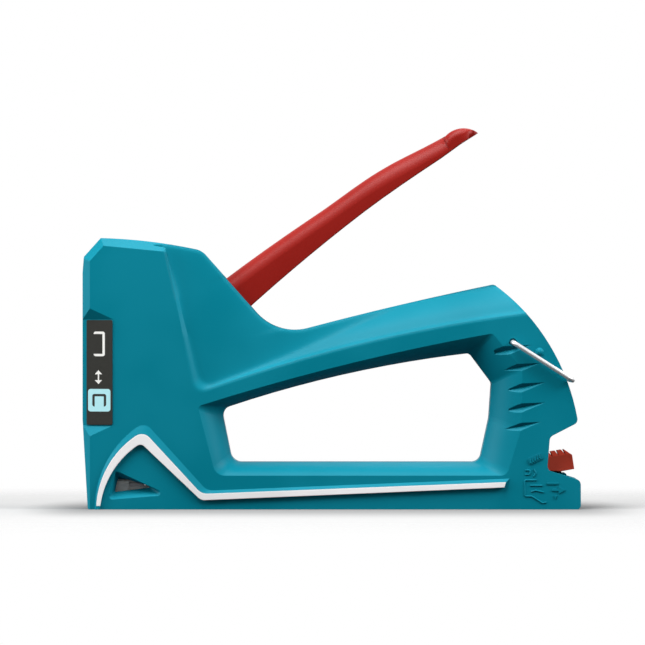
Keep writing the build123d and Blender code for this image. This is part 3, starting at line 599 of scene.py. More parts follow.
@dataclass(frozen=True)
class MouldedPlastic(Surface):
    """Moulded plastic: spark-eroded grain, slight tone changes and a split shell's parting line."""

    rough: float = 0.45
    grain: float = 2200.0
    grain_depth: float = 0.00002
    grain_rough: float = 0.12
    cloud: float = 28.0
    cloud_rough: float = 0.08
    spread: float = 0.05
    lift: float = 0.002
    seam: float = 0.0
    seam_depth: float = 0.00025
    seam_dark: float = 0.35
    seam_cover: float = 0.7
    edge: float = 0.00015
    soft_edge: float = 0.0

    def scoop(self, board: NodeBoard) -> Field | None:
        """Where edges are softened over soft_edge; nowhere on plain mouldings."""
        return None

    def material(self) -> bpy.types.Material:
        """Builds the material."""
        material, board = self.board()
        grain = board.noise(self.grain, 3.0, 0.6)
        cloud = board.noise(self.cloud, 2.0)
        colour = self.clouded(board, cloud, self.spread, self.lift)
        rough = self.rough + (grain - 0.5) * self.grain_rough + (cloud - 0.5) * self.cloud_rough
        height = grain * self.grain_depth
        if self.seam:
            _, y, _ = board.axes(board.place())
            groove = 1 - abs(y).smooth(self.seam * 0.4, self.seam)
            height = height - groove * self.seam_depth
            dark = tuple(value * self.seam_dark for value in self.colour)
            colour = board.mix(groove * self.seam_cover, colour, dark)
        self.build(board, colour, rough, height, self.edge, self.scoop(board), self.soft_edge)
        return material


@dataclass(frozen=True)
class ShellPlastic(MouldedPlastic):
    """Plastic of the shell, whose grip scoop runs out into softly rounded edges."""

    crease: tuple[Spot, ...] = ((-50.9, 43.2), (2.3, 59.7), (96.0, 75.6))
    wall_lean: float = -0.207
    margin: float = 0.9
    fade: float = 0.4
    pivot: Spot = (-53.1, 72.5)
    pivot_reach: float = 7.5
    pivot_fade: float = 1.5
    soft_edge: float = 0.0026

    def scoop(self, board: NodeBoard) -> Field:
        """1 on the scoop behind the head and above the crease, and just over its edge."""
        x, _, z = board.axes(board.place())
        foot = self.crease[0]
        centre, radius = circle_through(*self.crease)
        behind = x - foot[0] * MM - (z - foot[1] * MM) * self.wall_lean
        across = x - centre.x * MM
        up = z - centre.y * MM
        above = (across * across + up * up) ** 0.5 - radius * MM
        inside = behind.at_most(above) + self.margin * MM
        aside, over = x - self.pivot[0] * MM, z - self.pivot[1] * MM
        clear = (aside * aside + over * over) ** 0.5 - self.pivot_reach * MM
        fade, pivot_fade = self.fade * MM, self.pivot_fade * MM
        return inside.smooth(-fade, fade) * clear.smooth(-pivot_fade, pivot_fade)


@dataclass(frozen=True)
class PaintedSheet(Surface):
    """Powder coat on pressed steel: faint orange peel, worn a little paler."""

    rough: float = 0.38
    peel: float = 900.0
    peel_rough: float = 0.10
    peel_depth: float = 0.000012
    cloud: float = 22.0
    spread: float = 0.08
    lift: float = 0.003
    edge: float = 0.0004

    def material(self) -> bpy.types.Material:
        """Builds the material."""
        material, board = self.board()
        peel = board.noise(self.peel, 2.0, 0.5)
        colour = self.clouded(board, board.noise(self.cloud, 3.0), self.spread, self.lift)
        rough = self.rough + (peel - 0.5) * self.peel_rough
        self.build(board, colour, rough, peel * self.peel_depth, self.edge)
        return material


@dataclass(frozen=True)
class RolledSteel(Surface):
    """Bare steel with fine rolling or grinding lines along one axis."""

    rough: float = 0.32
    stretch: tuple[float, float, float] = (1.0, 1.0, 12.0)
    lines: float = 420.0
    lines_rough: float = 0.18
    lines_depth: float = 0.00002
    stain: float = 60.0
    deep: float = 0.72
    edge: float = 0.0002

    def material(self) -> bpy.types.Material:
        """Builds the material."""
        material, board = self.board()
        drawn = board.field(
            "ShaderNodeMapping", "Vector", values={"Vector": board.place(), "Scale": self.stretch}
        )
        lines = board.field(
            "ShaderNodeTexNoise", "Fac",
            values={"Vector": drawn, "Scale": self.lines, "Detail": 4.0},
        )
        stain = board.noise(self.stain, 3.0)
        deep = tuple(value * self.deep for value in self.colour)
        colour = board.mix(stain.smooth(0.4, 0.7) * 0.5 + lines * 0.4, self.colour, deep)
        rough = self.rough + (lines - 0.5) * self.lines_rough
        self.build(board, colour, rough, lines * self.lines_depth, self.edge)
        return material


@dataclass(frozen=True)
class LabelFilm(Surface):
    """Printed film: a dark field with plain figures: a badge, a staple outline, a width arrow."""

    badge: Colour = (0.4, 0.7, 0.8)
    ink: Colour = (0.7, 0.7, 0.68)
    badge_at: Spot = (-0.0866, 0.0407)
    badge_half: float = 0.0042
    badge_corner: float = 0.001
    sign_share: Spot = (0.62, 0.56)
    staple_at: Spot = (-0.0866, 0.0617)
    staple_half: Spot = (0.0046, 0.0021)
    wire: float = 0.0009
    arrow_at: Spot = (-0.0869, 0.0493)
    arrow_half: float = 0.0026
    arrow_line: float = 0.0005
    sharpness: float = 0.00006
    rough: float = 0.36

    def rounded(self, across: Field, up: Field, half: Spot, corner: float) -> Field:
        """1 inside a rounded rectangle round the origin of two coordinates.

        Args:
            across: Distance from the middle, sideways.
            up: Distance from the middle, upwards.
            half: Half sizes.
            corner: Corner radius.

        Returns:
            The mask.
        """
        side = (abs(across) - (half[0] - corner)).at_least(0.0)
        rise = (abs(up) - (half[1] - corner)).at_least(0.0)
        reach = (side * side + rise * rise) ** 0.5
        return 1 - reach.smooth(corner - self.sharpness, corner + self.sharpness)

    def staple(self, across: Field, up: Field, half: Spot) -> Field:
        """Staple outline: a rounded bar with two legs down.

        Args:
            across: Distance from the middle, along the crown.
            up: Distance from the middle, against the legs.
            half: Half sizes.

        Returns:
            The mask.
        """
        wire = self.wire
        outer = self.rounded(across, up, half, wire * 0.9)
        inner = self.rounded(across, up + wire, (half[0] - wire, half[1]), wire * 0.2)
        return outer * (1 - inner)

    def arrow(self, across: Field, up: Field, half: float, line: float) -> Field:
        """Arrow with a head at both ends.

        Args:
            across: Distance from the middle, across the arrow.
            up: Distance from the middle, along it.
            half: Half of its length.
            line: Width of its shaft.

        Returns:
            The mask.
        """
        shaft = self.rounded(across, up, (line / 2, half * 0.9), line * 0.2)
        head = (abs(across) * 1.1).below(half - abs(up)) * abs(up).above(half * 0.42)
        return shaft.at_least(head)

    def material(self) -> bpy.types.Material:
        """Builds the material."""
        material, board = self.board()
        x, _, z = board.axes(board.place())
        across, up = x - self.badge_at[0], z - self.badge_at[1]
        half = self.badge_half
        badge = self.rounded(across, up, (half, half), self.badge_corner)
        sign = self.staple(across, up, (half * self.sign_share[0], half * self.sign_share[1]))
        outline = self.staple(z - self.staple_at[1], x - self.staple_at[0], self.staple_half)
        width = self.arrow(
            x - self.arrow_at[0], z - self.arrow_at[1], self.arrow_half, self.arrow_line
        )
        grain = board.noise(900.0, 2.0)
        low, high = (tuple(value * share for value in self.colour) for share in (0.9, 1.15))
        dark = board.mix(grain, low, high)
        inked = board.mix(outline.at_least(width), dark, self.ink)
        badged = board.mix(badge, inked, self.badge)
        colour = board.mix(sign, badged, dark)
        self.build(board, colour, self.rough + grain * 0.08, grain * 0.000006)
        return material


TEAL = ShellPlastic(
    "housing_teal_grain", colour=srgb(0, 122, 142), rough=0.44, specular=0.08, seam=0.00028
)
TEAL_MARK = MouldedPlastic("mark_teal_grain", colour=srgb(0, 118, 137), rough=0.44, specular=0.08)
TEAL_DARK = MouldedPlastic("drawer_teal_grain", colour=srgb(2, 88, 102), rough=0.48, specular=0.12)
TRIM = MouldedPlastic(
    "trim_pale_gloss", colour=srgb(244, 243, 244), rough=0.34, grain=900.0, specular=0.3, edge=0.0003
)
KNOB = MouldedPlastic(
    "knob_red_grain", colour=srgb(206, 68, 48), rough=0.48, specular=0.12, edge=0.0003
)
SEAT = MouldedPlastic("seat_black_grain", colour=srgb(40, 41, 43), rough=0.5, specular=0.3)
RUBBER = MouldedPlastic("bumper_rubber", colour=srgb(30, 30, 31), rough=0.75, specular=0.2)
PAINT = PaintedSheet(
    "lever_red_coat", colour=srgb(130, 14, 4), rough=0.42, specular=0.16, edge=0.0003
)
SHEET = RolledSteel(
    "sheet_steel_rolled", metallic=0.9, colour=srgb(176, 178, 180), stretch=ALONG_X
)
BRIGHT = RolledSteel(
    "channel_steel_bright", metallic=0.15, colour=srgb(246, 245, 242), rough=0.45, stretch=ALONG_X
)
HARD = RolledSteel("hard_steel_ground", metallic=0.95, colour=srgb(122, 124, 128), rough=0.36)
PIN = RolledSteel("pin_steel_turned", metallic=0.95, colour=srgb(165, 167, 170), stretch=ALONG_Y)
SPRING = RolledSteel("spring_steel_oiled", metallic=0.95, colour=srgb(118, 120, 124), rough=0.28)
SCREW = RolledSteel("screw_zinc", metallic=0.95, colour=srgb(170, 172, 172), rough=0.3, edge=0.0)
BAIL = RolledSteel(
    "bail_bright_plate", metallic=0.6, colour=srgb(232, 232, 234), rough=0.24, edge=0.0
)
LABEL = LabelFilm(
    "label_print", colour=srgb(50, 50, 47), badge=srgb(180, 233, 240), ink=srgb(240, 240, 236),
    specular=0.15,
)


# ---------------------------------------------------------------- sub-assemblies
class Side(Enum):
    """Which side of the staple gun, as the sign of Y."""

    LEFT = -1
    RIGHT = 1


@dataclass
class SubAssembly:
    """Carried-over pieces that share a body, and what is modelled on them."""

    nodes: dict[str, bpy.types.Object]

    def dress(self, finish: Surface, *names: str) -> None:
        """Gives carried-over pieces a finish.

        Args:
            finish: The finish.
            *names: Their names.
        """
        for name in names:
            for slot in self.nodes[name].material_slots:
                slot.material = finish.ready()
            LOG.info("%s dressed in %s", name, finish.name)

    def coil(
        self, name: str, node: str, body: str, joint: str, anchor: Vector, travel: float
    ) -> None:
        """Compression spring copied from a carried-over one and put on the body of its fixed end.

        Args:
            name: Name of the spring.
            node: Carried-over spring that it stands for.
            body: Body that its fixed end sits on.
            joint: Not used.
            anchor: Fixed end, in metres.
            travel: How far its free end moves, in metres.
        """
        mesh = self.nodes[node].data.copy()
        mend(mesh)
        mesh.materials.clear()
        mesh.materials.append(SPRING.ready())
        mesh.shade_smooth()
        low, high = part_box(node)
        free = Vector(low) * 0.5 + Vector(high) * 0.5
        spans = [end - start for start, end in zip(low, high)]
        longest = spans.index(max(spans))
        reach = abs(anchor[longest] - free[longest]) + spans[longest] / 2
        spring = add_piece(name, mesh)
        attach(spring, body)
        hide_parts(node)
        1 - travel / reach
        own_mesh(spring)

    def make(self) -> None:
        """Builds and dresses the sub-assembly."""
        raise NotImplementedError


@dataclass
class Housing(SubAssembly):
    """Two moulded halves with their trim strips, labels and the raised marks on the tail."""

    flat: float = 15.0
    mark_rise: float = 0.28
    line_round: float = 0.30
    line_steps: int = 4
    line_sides: int = 12
    plate_steps: int = 5
    corner: float = 0.5
    arrow_corner: float = 0.12
    pill_at: Spot = (75.9, 18.9)
    pill_size: Spot = (5.8, 2.5)
    pill_tilt: float = 26.0
    pill_ribs: int = 5
    pill_round: float = 0.6
    rib_reach: Spot = (0.3, 0.6)
    lines: tuple[tuple[Spot, ...], ...] = (
        ((76.4, 10.9), (72.0, 10.9), (72.0, 4.9), (74.6, 4.9), (78.6, 2.4), (80.0, 2.6)),
        ((74.0, 8.9), (78.6, 8.9)),
        ((74.4, 6.6), (76.0, 7.1), (79.0, 6.4)),
        ((72.2, 14.6), (74.0, 14.6), (74.0, 13.0), (72.2, 13.0)),
        ((75.3, 15.0), (76.2, 13.6), (75.3, 12.2)),
    )
    arrows: tuple[tuple[Spot, ...], ...] = (
        ((80.2, 10.0), (84.6, 10.0), (84.6, 9.3), (80.2, 9.3)),
        (
            (82.0, 7.6), (84.6, 7.6), (84.6, 8.6), (87.2, 7.2),
            (84.6, 5.8), (84.6, 6.8), (82.0, 6.8),
        ),
        ((82.8, 5.2), (84.0, 5.2), (83.4, 3.6)),
    )

    def onto(self, piece: bpy.types.Object, side: Side) -> None:
        """Turns a piece drawn flat in X and Y upright onto the flat of one side.

        Args:
            piece: The piece, with its relief along Z.
            side: The side it goes to.
        """
        for point in piece.data.vertices:
            x, z, rise = point.co
            point.co = (x, side.value * (self.flat * MM + rise), z)
        mend(piece.data)

    def line_tree(self) -> GrowthTree:
        """Tree that lays a half-round raised line along edges."""
        tree = GrowthTree("raised_line")
        path = tree.rounded_path(self.corner, self.line_steps)
        tree.close(tree.wire(path, self.line_round, self.line_sides), TEAL_MARK.ready(), True)
        return tree

    def plate_tree(self, rise: float, corner: float) -> GrowthTree:
        """Tree that fills an outline and raises it.

        Args:
            rise: Height in millimetres.
            corner: Corner radius in millimetres.

        Returns:
            The tree.
        """
        tree = GrowthTree("raised_plate")
        path = tree.rounded_path(corner, self.plate_steps)
        face = tree.node("GeometryNodeFillCurve", settings={"mode": "NGONS"}, values={"Curve": path})
        solid = tree.node(
            "GeometryNodeExtrudeMesh",
            values={
                "Mesh": face, "Offset Scale": tree.size("Rise", rise * MM), "Individual": False,
            },
        )
        tree.close(solid, TEAL_MARK.ready(), False)
        return tree

    def turned(self, points: tuple[Spot, ...]) -> list[Vector]:
        """Points of the pill's own frame, tilted and moved to its place, in metres."""
        angle = math.radians(self.pill_tilt)
        return [
            Vector((
                self.pill_at[0] + x * math.cos(angle) - y * math.sin(angle),
                self.pill_at[1] + x * math.sin(angle) + y * math.cos(angle),
                0.0,
            )) * MM
            for x, y in points
        ]

    def finish_mark(self, piece: bpy.types.Object, side: Side) -> None:
        """Puts a raised mark on one side and has it ride on the housing."""
        self.onto(piece, side)
        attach(piece, "housing")

    def marks(self, side: Side) -> None:
        """Makes the raised marks of one side: a ribbed thumb pill, tray lines and arrows."""
        word = side.name.lower()
        half_x, half_z = self.pill_size[0] / 2, self.pill_size[1] / 2
        pill = ((-half_x, -half_z), (half_x, -half_z), (half_x, half_z), (-half_x, half_z))
        seed = path_mesh("pill", self.turned(pill), True)
        tree = self.plate_tree(self.mark_rise, half_z * self.pill_round)
        piece = tree.bake(f"mark_pill_{word}", seed)
        self.finish_mark(piece, side)
        pitch = self.pill_size[0] / (self.pill_ribs + 1)
        for index in range(self.pill_ribs):
            x = (index + 1) * pitch - half_x
            lean, reach = self.rib_reach[0], half_z * self.rib_reach[1]
            rib = self.turned(((x - lean, -reach), (x + lean, reach)))
            lifted = [point + Vector((0, 0, self.mark_rise * MM)) for point in rib]
            tree = self.line_tree()
            piece = tree.bake(f"mark_rib_{index}_{word}", path_mesh("rib", lifted))
            self.finish_mark(piece, side)
        for index, line in enumerate(self.lines):
            seed = path_mesh("line", [Vector((x, z, 0)) * MM for x, z in line])
            self.finish_mark(self.line_tree().bake(f"mark_line_{index}_{word}", seed), side)
        for index, outline in enumerate(self.arrows):
            seed = path_mesh("arrow", [Vector((x, z, 0)) * MM for x, z in outline], True)
            tree = self.plate_tree(self.mark_rise, self.arrow_corner)
            self.finish_mark(tree.bake(f"mark_arrow_{index}_{word}", seed), side)

    def make(self) -> None:
        """Builds and dresses the housing."""
        self.dress(TEAL, "left_housing", "right_housing")
        self.dress(TRIM, "trim_left", "trim_right")
        self.dress(LABEL, "label_left", "label_right")
        for side in Side:
            self.marks(side)


@dataclass
class Screws(SubAssembly):
    """Cross-recess screws that clamp the halves, driven in from the right."""

    places: tuple[Spot, ...] = (
        (-55.6, 91.4), (-57.0, 30.0), (-6.0, 58.6), (50.0, 69.6), (75.0, 26.0),
    )
    head_y: float = 13.0
    head_radius: float = 3.15
    head_thick: float = 2.4
    dome: float = 0.35
    shank_radius: float = 1.55
    core_radius: float = 1.25
    shank_end: float = -6.9
    pitch: float = 0.8
    recess: tuple[float, float, float] = (3.6, 0.9, 1.2)
    recess_taper: float = 0.72
    segments: int = 32

    def profile(self) -> list[Spot]:
        """Radius and depth below the head's top, from the top's axis to the tip's."""
        thick = self.head_thick
        points = [
            (0.0, 0.0), (self.head_radius * 0.55, self.dome * 0.25),
            (self.head_radius * 0.85, self.dome * 0.7), (self.head_radius, self.dome * 1.4),
            (self.head_radius, thick - 0.1), (self.head_radius - 0.1, thick),
            (self.shank_radius, thick),
        ]
        depth = thick + 3 * self.pitch
        end = self.head_y - self.shank_end
        while depth < end - self.pitch:
            points += [(self.shank_radius, depth), (self.core_radius, depth + self.pitch * 0.5)]
            depth += self.pitch
        return points + [(self.core_radius, end - 0.3), (0.0, end)]

    def one(self) -> bpy.types.Object:
        """One screw on the Y axis, its head's top at the origin."""
        edit = bmesh.new()
        points = [
            edit.verts.new((radius * MM, -depth * MM, 0.0)) for radius, depth in self.profile()
        ]
        edges = [edit.edges.new(pair) for pair in zip(points, points[1:])]
        bmesh.ops.spin(
            edit, geom=points + edges, cent=(0, 0, 0), axis=(0, 1, 0), dvec=(0, 0, 0),
            angle=math.tau, steps=self.segments, use_merge=True,
        )
        bmesh.ops.remove_doubles(edit, verts=edit.verts, dist=0.000005)
        bmesh.ops.recalc_face_normals(edit, faces=edit.faces)
        screw = link("screw", taken(edit, "screw"))
        long, short, _ = self.recess
        cutters = [self.cutter(*size) for size in ((long, short), (short, long))]
        for cutter in cutters:
            cut = screw.modifiers.new("recess", "BOOLEAN")
            cut.operation = "DIFFERENCE"
            cut.object = cutter
        graph = bpy.context.evaluated_depsgraph_get()
        cut_mesh = bpy.data.meshes.new_from_object(screw.evaluated_get(graph))
        screw.modifiers.clear()
        screw.data = cut_mesh
        for cutter in cutters:
            bpy.data.objects.remove(cutter)
        return screw

    def cutter(self, width: float, height: float) -> bpy.types.Object:
        """Tapered block of one arm of the cross.

        Args:
            width: Size along X at the head's top.
            height: Size along Z at the head's top.

        Returns:
            The block.
        """
        edit = bmesh.new()
        bmesh.ops.create_cube(edit, size=1.0)
        for point in edit.verts:
            deep = point.co.y < 0
            share = self.recess_taper if deep else 1.0
            level = -self.recess[2] if deep else self.dome
            point.co = Vector((
                point.co.x * width * share, level, point.co.z * height * share,
            )) * MM
        return link("recess_cutter", taken(edit, "recess_cutter"))

    def make(self) -> None:
        """Builds the screws from one, each turned as it was tightened."""
        screw = self.one()
        tree = GrowthTree("screw_set")
        turn = tree.node(
            "FunctionNodeRandomValue",
            settings={"data_type": "FLOAT_VECTOR"},
            values={
                "Min": (0.0, 0.0, 0.0), "Max": (0.0, math.pi / 2, 0.0), "Seed": tree.size("Seed", 7),
            },
        )
        shape = tree.node(
            "GeometryNodeObjectInfo", values={"Object": screw}
        ).node.outputs["Geometry"]
        placed = tree.node(
            "GeometryNodeInstanceOnPoints",
            values={
                "Points": tree.start(), "Instance": shape, "Rotation": turn,
                "Scale": tree.size("Scale", 1.0),
            },
        )
        tree.close(placed, SCREW.ready(), False)
        seed = bpy.data.meshes.new("screw_points")
        seed.from_pydata([Vector((x, self.head_y, z)) * MM for x, z in self.places], [], [])
        piece = tree.bake("cross_screws", seed)
        bpy.data.objects.remove(screw)
        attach(piece, "housing")
        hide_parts("housing_screws")


@dataclass
class Lever(SubAssembly):
    """Pressed lever with its pivot; the handle's long top edges are rounded."""

    half: float = 9.8
    gauge: float = 1.2
    round_out: float = 5.4
    proud: float = 0.6
    clear: float = 0.04
    top: tuple[Spot, ...] = ((-40.4, 85.4), (-2.8, 111.9), (40.9, 138.5))
    overrun: float = 0.8
    stations: int = 60
    steps: int = 12
    sharp_angle: float = 30.0
    swell: float = 1.3
    swell_at: float = 17.4
    swell_reach: float = 24.0
    belly: tuple[Spot, ...] = (
        (-46.0, 0.0), (-36.0, 1.9), (-15.0, 1.4), (15.0, 0.6), (42.0, 0.6), (48.0, 0.0)
    )
    depth: Spot = (11.33, -0.112)

    def fill_out(self, mesh: bpy.types.Mesh) -> None:
        """Lets the handle's top swell at its middle and its lower edge hang lower near the head.

        The handle's depth is taken as depth[0] + depth[1] * x; belly says how far the lower
        edge hangs at each x.

        Args:
            mesh: The lever's mesh, which is changed.
        """
        centre, radius = circle_through(*self.top)
        for vertex in mesh.vertices:
            x, z = vertex.co.x / MM, vertex.co.z / MM
            if not self.belly[0][0] < x < self.belly[-1][0]:
                continue
            chord = math.sqrt(radius**2 - (x - centre.x) ** 2)
            top = centre.y + math.copysign(chord, z - centre.y)
            height = min(1.0, max(0.0, 1 - (top - z) / (self.depth[0] + self.depth[1] * x)))
            off = min(1.0, abs(x - self.swell_at) / self.swell_reach)
            rise = self.swell * math.cos(math.pi / 2 * off) ** 2
            vertex.co.z += (rise * height - graded(self.belly, x) * (1 - height)) * MM

    def bar(self, name: str, section: list[Spot], side: Side) -> bpy.types.Object:
        """Closed bar of one section along the handle's top arc.

        Args:
            name: Name of the bar.
            section: Distance from the middle plane and height over the top, round the section.
            side: Side of the lever.

        Returns:
            The bar.
        """
        centre, radius = circle_through(*self.top)
        ends = (self.top[0], self.top[-1])
        first, last = (math.atan2(z - centre.y, x - centre.x) for x, z in ends)
        reach = self.overrun / radius
        first, last = first + reach, last - reach
        rings = []
        for station in range(self.stations + 1):
            angle = first + (last - first) * station / self.stations
            rings.append([
                Vector((
                    centre.x + math.cos(angle) * (radius + rise), side.value * across,
                    centre.y + math.sin(angle) * (radius + rise),
                )) * MM
                for across, rise in section
            ])
        return link(name, taken(loft(rings), name))

    def quarter(self, radius: float) -> list[Spot]:
        """Points of the rounding, from just past the side wall's face up to just past the top's.

        Args:
            radius: Radius of the rounding in millimetres.

        Returns:
            Distance from the middle plane and height over the top, point by point.
        """
        across, rise = self.half - self.round_out + self.clear, -self.round_out + self.clear
        turns = [math.pi / 2 * step / self.steps for step in range(self.steps + 1)]
        return [
            (across + radius * math.cos(turn), rise + radius * math.sin(turn)) for turn in turns
        ]

    def handle(self) -> bpy.types.Object:
        """Lever with rounded top edges, cut from a copy of the carried-over solid."""
        lever = link("lever_coated", self.nodes["lever"].data.copy())
        mend(lever.data)
        inner = self.quarter(self.round_out - self.gauge)
        middle = self.gauge / 2
        wall = self.half - middle
        fill = inner + [(inner[-1][0], -middle), (wall, -middle), (wall, inner[0][1])]
        outer = self.quarter(self.round_out)
        edge = self.half + self.proud
        cut = outer + [(outer[-1][0], self.proud), (edge, self.proud), (edge, outer[0][1])]
        bars = []
        for section, word in ((fill, "UNION"), (cut, "DIFFERENCE")):
            for side in Side:
                bars.append(self.bar(f"lever_{word.lower()}_{side.name.lower()}", section, side))
                step = lever.modifiers.new(word, "BOOLEAN")
                step.operation = word
                step.object = bars[-1]
        evaluated = lever.evaluated_get(bpy.context.evaluated_depsgraph_get())
        mesh = bpy.data.meshes.new_from_object(evaluated)
        for made in (lever, *bars):
            bpy.data.objects.remove(made)
        self.fill_out(mesh)
        mesh.materials.clear()
        mesh.materials.append(PAINT.ready())
        mesh.polygons.foreach_set("material_index", [0] * len(mesh.polygons))
        mesh.shade_smooth()
        mesh.set_sharp_from_angle(angle=math.radians(self.sharp_angle))
        return add_piece("lever_coated", mesh)

    def make(self) -> None:
        """Builds the handle and dresses the pivot."""
        handle = self.handle()
        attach(handle, "lever")
        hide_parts("lever")
        self.dress(PIN, "lever_pin", "lever_bush")
        self.dress(SPRING, "lever_return_spring")


@dataclass
class Striker(SubAssembly):
    """Hammer with its blade, springs and stops."""

    spring_top: tuple[float, float, float] = (-76.4, 0.0, 92.5)
    lift: float = 14.6

    def make(self) -> None:
        """Dresses the striking parts."""
        self.dress(HARD, "hammer", "driver_blade")
        self.dress(PIN, "hammer_rivets")
        top = Vector(self.spring_top) * MM
        self.coil("power_coil", "power_spring", "housing", "hammer_lift", top, self.lift * MM)
        self.dress(SEAT, "spring_seat")
        self.dress(RUBBER, "bumper")


@dataclass
class Magazine(SubAssembly):
    """Fixed steel channel, the drawer that slides in it, and a dark web put in as painted shade
    above the channel.
    """

    web: tuple[Spot, Spot] = ((-82.0, 11.25), (-65.5, 12.6))
    web_half: float = 10.5
    web_edge: float = 0.2
    spring_end: tuple[float, float, float] = (79.2, 0.0, 5.65)
    feed: float = 90.0

    def sight_web(self) -> None:
        """Makes a dark web between the halves above the channel, a piece put in as painted shade
        that closes the sight windows.
        """
        (low_x, low_z), (high_x, high_z) = self.web
        half = self.web_half
        outline = ((low_x, low_z), (high_x, low_z), (high_x, high_z), (low_x, high_z))
        edit = loft([[Vector((x, y, z)) * MM for x, z in outline] for y in (-half, half)])
        bmesh.ops.bevel(
            edit, geom=edit.edges[:], offset=self.web_edge * MM, segments=2, affect="EDGES",
            profile=0.5,
        )
        mesh = taken(edit, "sight_web")
        mesh.materials.append(TEAL_DARK.ready())
        web = add_piece("sight_web", mesh)
        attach(web, "housing")

    def make(self) -> None:
        """Dresses the magazine."""
        # Dark web above the channel: painted shade in the sight windows.
        self.sight_web()
        self.dress(BRIGHT, "nose_plate", "magazine_channel")
        self.dress(SHEET, "staple_rail")
        self.dress(HARD, "follower")
        self.dress(PIN, "guide_rod")
        end = Vector(self.spring_end) * MM
        self.coil("feed_coil", "follower_spring", "drawer", "follower_feed", end, self.feed * MM)
        self.dress(TEAL_DARK, "drawer_end")
        self.dress(KNOB, "end_knob")


@dataclass
class Bail(SubAssembly):
    """Bent wire that holds the lever down, drawn along its centre line."""

    pivot: Spot = (67.6, 62.3)
    radius: float = 26.3
    rest: float = -32.5
    wire: float = 1.8
    arm_y: float = 17.25
    grip_y: float = 12.6
    bend: float = 2.0
    bend_steps: int = 10
    sides: int = 28

    def make(self) -> None:
        """Builds the wire."""
        angle = math.radians(self.rest)
        loop = (
            self.pivot[0] + self.radius * math.cos(angle),
            self.pivot[1] + self.radius * math.sin(angle),
        )
        half = [(self.pivot, self.grip_y), (self.pivot, self.arm_y), (loop, self.arm_y)]
        points = [Vector((x, -y, z)) * MM for (x, z), y in half]
        points += [Vector((x, y, z)) * MM for (x, z), y in reversed(half)]
        tree = GrowthTree("bent_wire")
        path = tree.rounded_path(self.bend, self.bend_steps)
        tree.close(tree.wire(path, self.wire / 2, self.sides), BAIL.ready(), True)
        piece = tree.bake("bail_wire", path_mesh("bail_line", points))
        mend(piece.data)
        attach(piece, "bail")
        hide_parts("wire_bail")


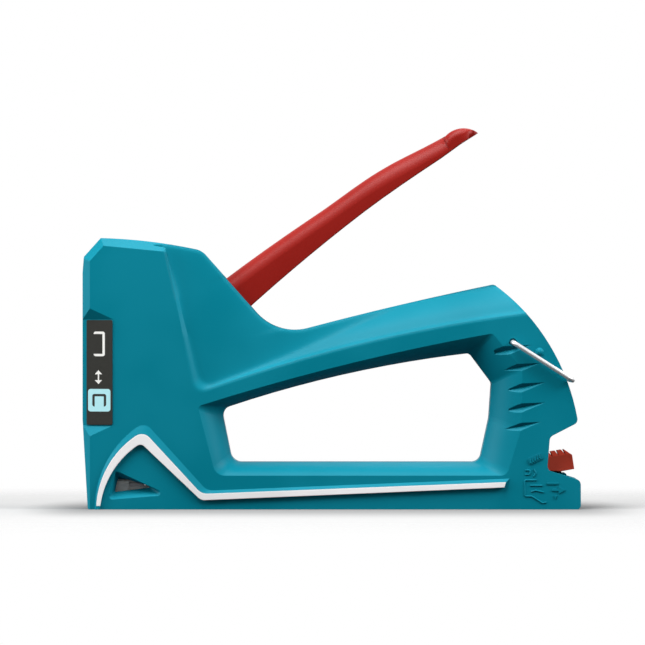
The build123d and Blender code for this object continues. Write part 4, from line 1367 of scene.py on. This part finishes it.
@dataclass
class Studio:
    """Pale floor with a painted shadow round the footprint, soft lamps and the side-on camera."""

    floor_size: float = 1.5
    patch_half: float = 0.09
    fade_near: float = 0.05
    fade_far: float = 0.32
    floor_seen: float = 0.42
    floor_bounce: float = 0.05
    foot_half: Spot = (0.090, 0.013)
    painted_shadow_reach: Spot = (0.030, 0.13)
    painted_shadow_tone: float = 0.58
    camera_distance: float = 2.4
    ambient: float = 0.14
    aim: tuple[float, float, float] = (0.0, 0.0, 0.06)
    frame_pixels: int = 645
    pixel: float = 0.000375
    centre_pixel: Spot = (322.5, 322.5)
    origin_pixel: Spot = (331.5, 508.3)
    sensor: float = 36.0
    view_depth: float = 50.0
    lamps: tuple[tuple[str, float, float, float, float, float], ...] = (
        ("key_above", -30.0, 60.0, 0.72, 0.42, 5.8),
        ("top_soft", 0.0, 86.0, 0.70, 0.35, 2.6),
        ("back_above", 155.0, 50.0, 1.1, 0.7, 3.0),
        ("left_strip", -78.0, 16.0, 0.9, 0.4, 5.6),
        ("right_strip", 72.0, 28.0, 0.9, 0.4, 7.0),
    )

    def floor(self) -> bpy.types.Object:
        """Makes the floor, which keeps the shadow, is darkened round the footprint by a painted
        shadow where the camera sees it, and fades into the pale surroundings.
        """
        edit = bmesh.new()
        bmesh.ops.create_grid(edit, x_segments=1, y_segments=1, size=self.floor_size)
        floor = link("floor", taken(edit, "floor"))
        material, board = Surface("floor_pale").board()
        x, y, _ = board.axes(board.place())
        reach = ((abs(x) - self.patch_half).at_least(0.0) ** 2 + y**2) ** 0.5
        seen = Field(board, board.node("ShaderNodeLightPath").outputs["Is Camera Ray"])
        # Painted shadow: where the camera sees it, the floor is darkened round the staple gun's
        # footprint.
        beyond_x = (abs(x) - self.foot_half[0]).at_least(0.0) / self.painted_shadow_reach[0]
        beyond_y = (abs(y) - self.foot_half[1]).at_least(0.0) / self.painted_shadow_reach[1]
        painted_shadow = 1 - ((beyond_x**2 + beyond_y**2) ** 0.5).smooth(0.0, 1.0)
        tone = board.mix(painted_shadow, grey(self.floor_seen), grey(self.floor_seen * self.painted_shadow_tone))
        colour = board.mix(seen, grey(self.floor_bounce), tone)
        matt = board.node("ShaderNodeBsdfDiffuse", values={"Color": colour})
        clear = board.node("ShaderNodeBsdfTransparent")
        below = Field(board, board.node("ShaderNodeNewGeometry").outputs["Backfacing"])
        fade = seen * reach.smooth(self.fade_near, self.fade_far).at_least(below)
        mixed = board.node(
            "ShaderNodeMixShader", values={0: fade, 1: matt.outputs[0], 2: clear.outputs[0]}
        )
        board.node("ShaderNodeOutputMaterial", values={"Surface": mixed.outputs[0]})
        floor.data.materials.append(material)
        return floor

    def world(self) -> None:
        """White surroundings."""
        world = bpy.data.worlds.new("studio")
        bpy.context.scene.world = world
        world.use_nodes = True
        board = NodeBoard(world.node_tree)
        path = board.node("ShaderNodeLightPath")
        seen = Field(board, path.outputs["Is Camera Ray"]).at_least(
            Field(board, path.outputs["Is Glossy Ray"])
        ).at_least(Field(board, path.outputs["Is Transmission Ray"]))
        strength = self.ambient + seen * (1 - self.ambient)
        back = board.node(
            "ShaderNodeBackground", values={"Color": grey(1.0), "Strength": strength}
        )
        board.node("ShaderNodeOutputWorld", values={"Surface": back.outputs[0]})

    def lamp(
        self, name: str, azimuth: float, elevation: float, distance: float, size: float, watts: float
    ) -> None:
        """Adds a square soft lamp that faces the staple gun.

        Args:
            name: Lamp name.
            azimuth: Degrees round from the front, positive to the right.
            elevation: Degrees up from the floor.
            distance: Metres from the middle of the object.
            size: Side length.
            watts: Power.
        """
        turn, rise = math.radians(azimuth), math.radians(elevation)
        level = math.cos(rise)
        away = Vector((math.sin(turn) * level, -math.cos(turn) * level, math.sin(rise)))
        data = bpy.data.lights.new(name, "AREA")
        data.size = size
        data.energy = watts
        lamp = link(name, data)
        lamp.location = Vector(self.aim) + away * distance
        lamp.rotation_mode = "QUATERNION"
        lamp.rotation_quaternion = (-away).to_track_quat("-Z", "Y")

    def camera(self) -> None:
        """Side-on camera with a long lens, set so that one scale holds for the whole part."""
        data = bpy.data.cameras.new("camera")
        field = self.frame_pixels * self.pixel
        data.sensor_width = self.sensor
        data.lens = data.sensor_width * self.camera_distance / field
        data.clip_end = self.view_depth
        camera = link("camera", data)
        x = (self.centre_pixel[0] - self.origin_pixel[0]) * self.pixel
        z = (self.origin_pixel[1] - self.centre_pixel[1]) * self.pixel
        camera.location = (x, -self.camera_distance, z)
        camera.rotation_euler = (math.radians(90.0), 0.0, 0.0)
        bpy.context.scene.camera = camera

    def make(self) -> None:
        """Sets up the whole studio."""
        self.floor()
        self.world()
        self.camera()
        for lamp in self.lamps:
            self.lamp(*lamp)
        bpy.context.scene.view_settings.view_transform = "Standard"


def main() -> None:
    """Builds the dressed staple gun in its studio."""
    logging.basicConfig(level=logging.INFO)
    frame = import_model()
    nodes = frame["nodes"]
    for kind in (Housing, Screws, Lever, Striker, Magazine, Bail):
        kind(nodes).make()
        LOG.info("%s done", kind.__name__)
    Studio().make()


if __name__ == "__main__":
    main()
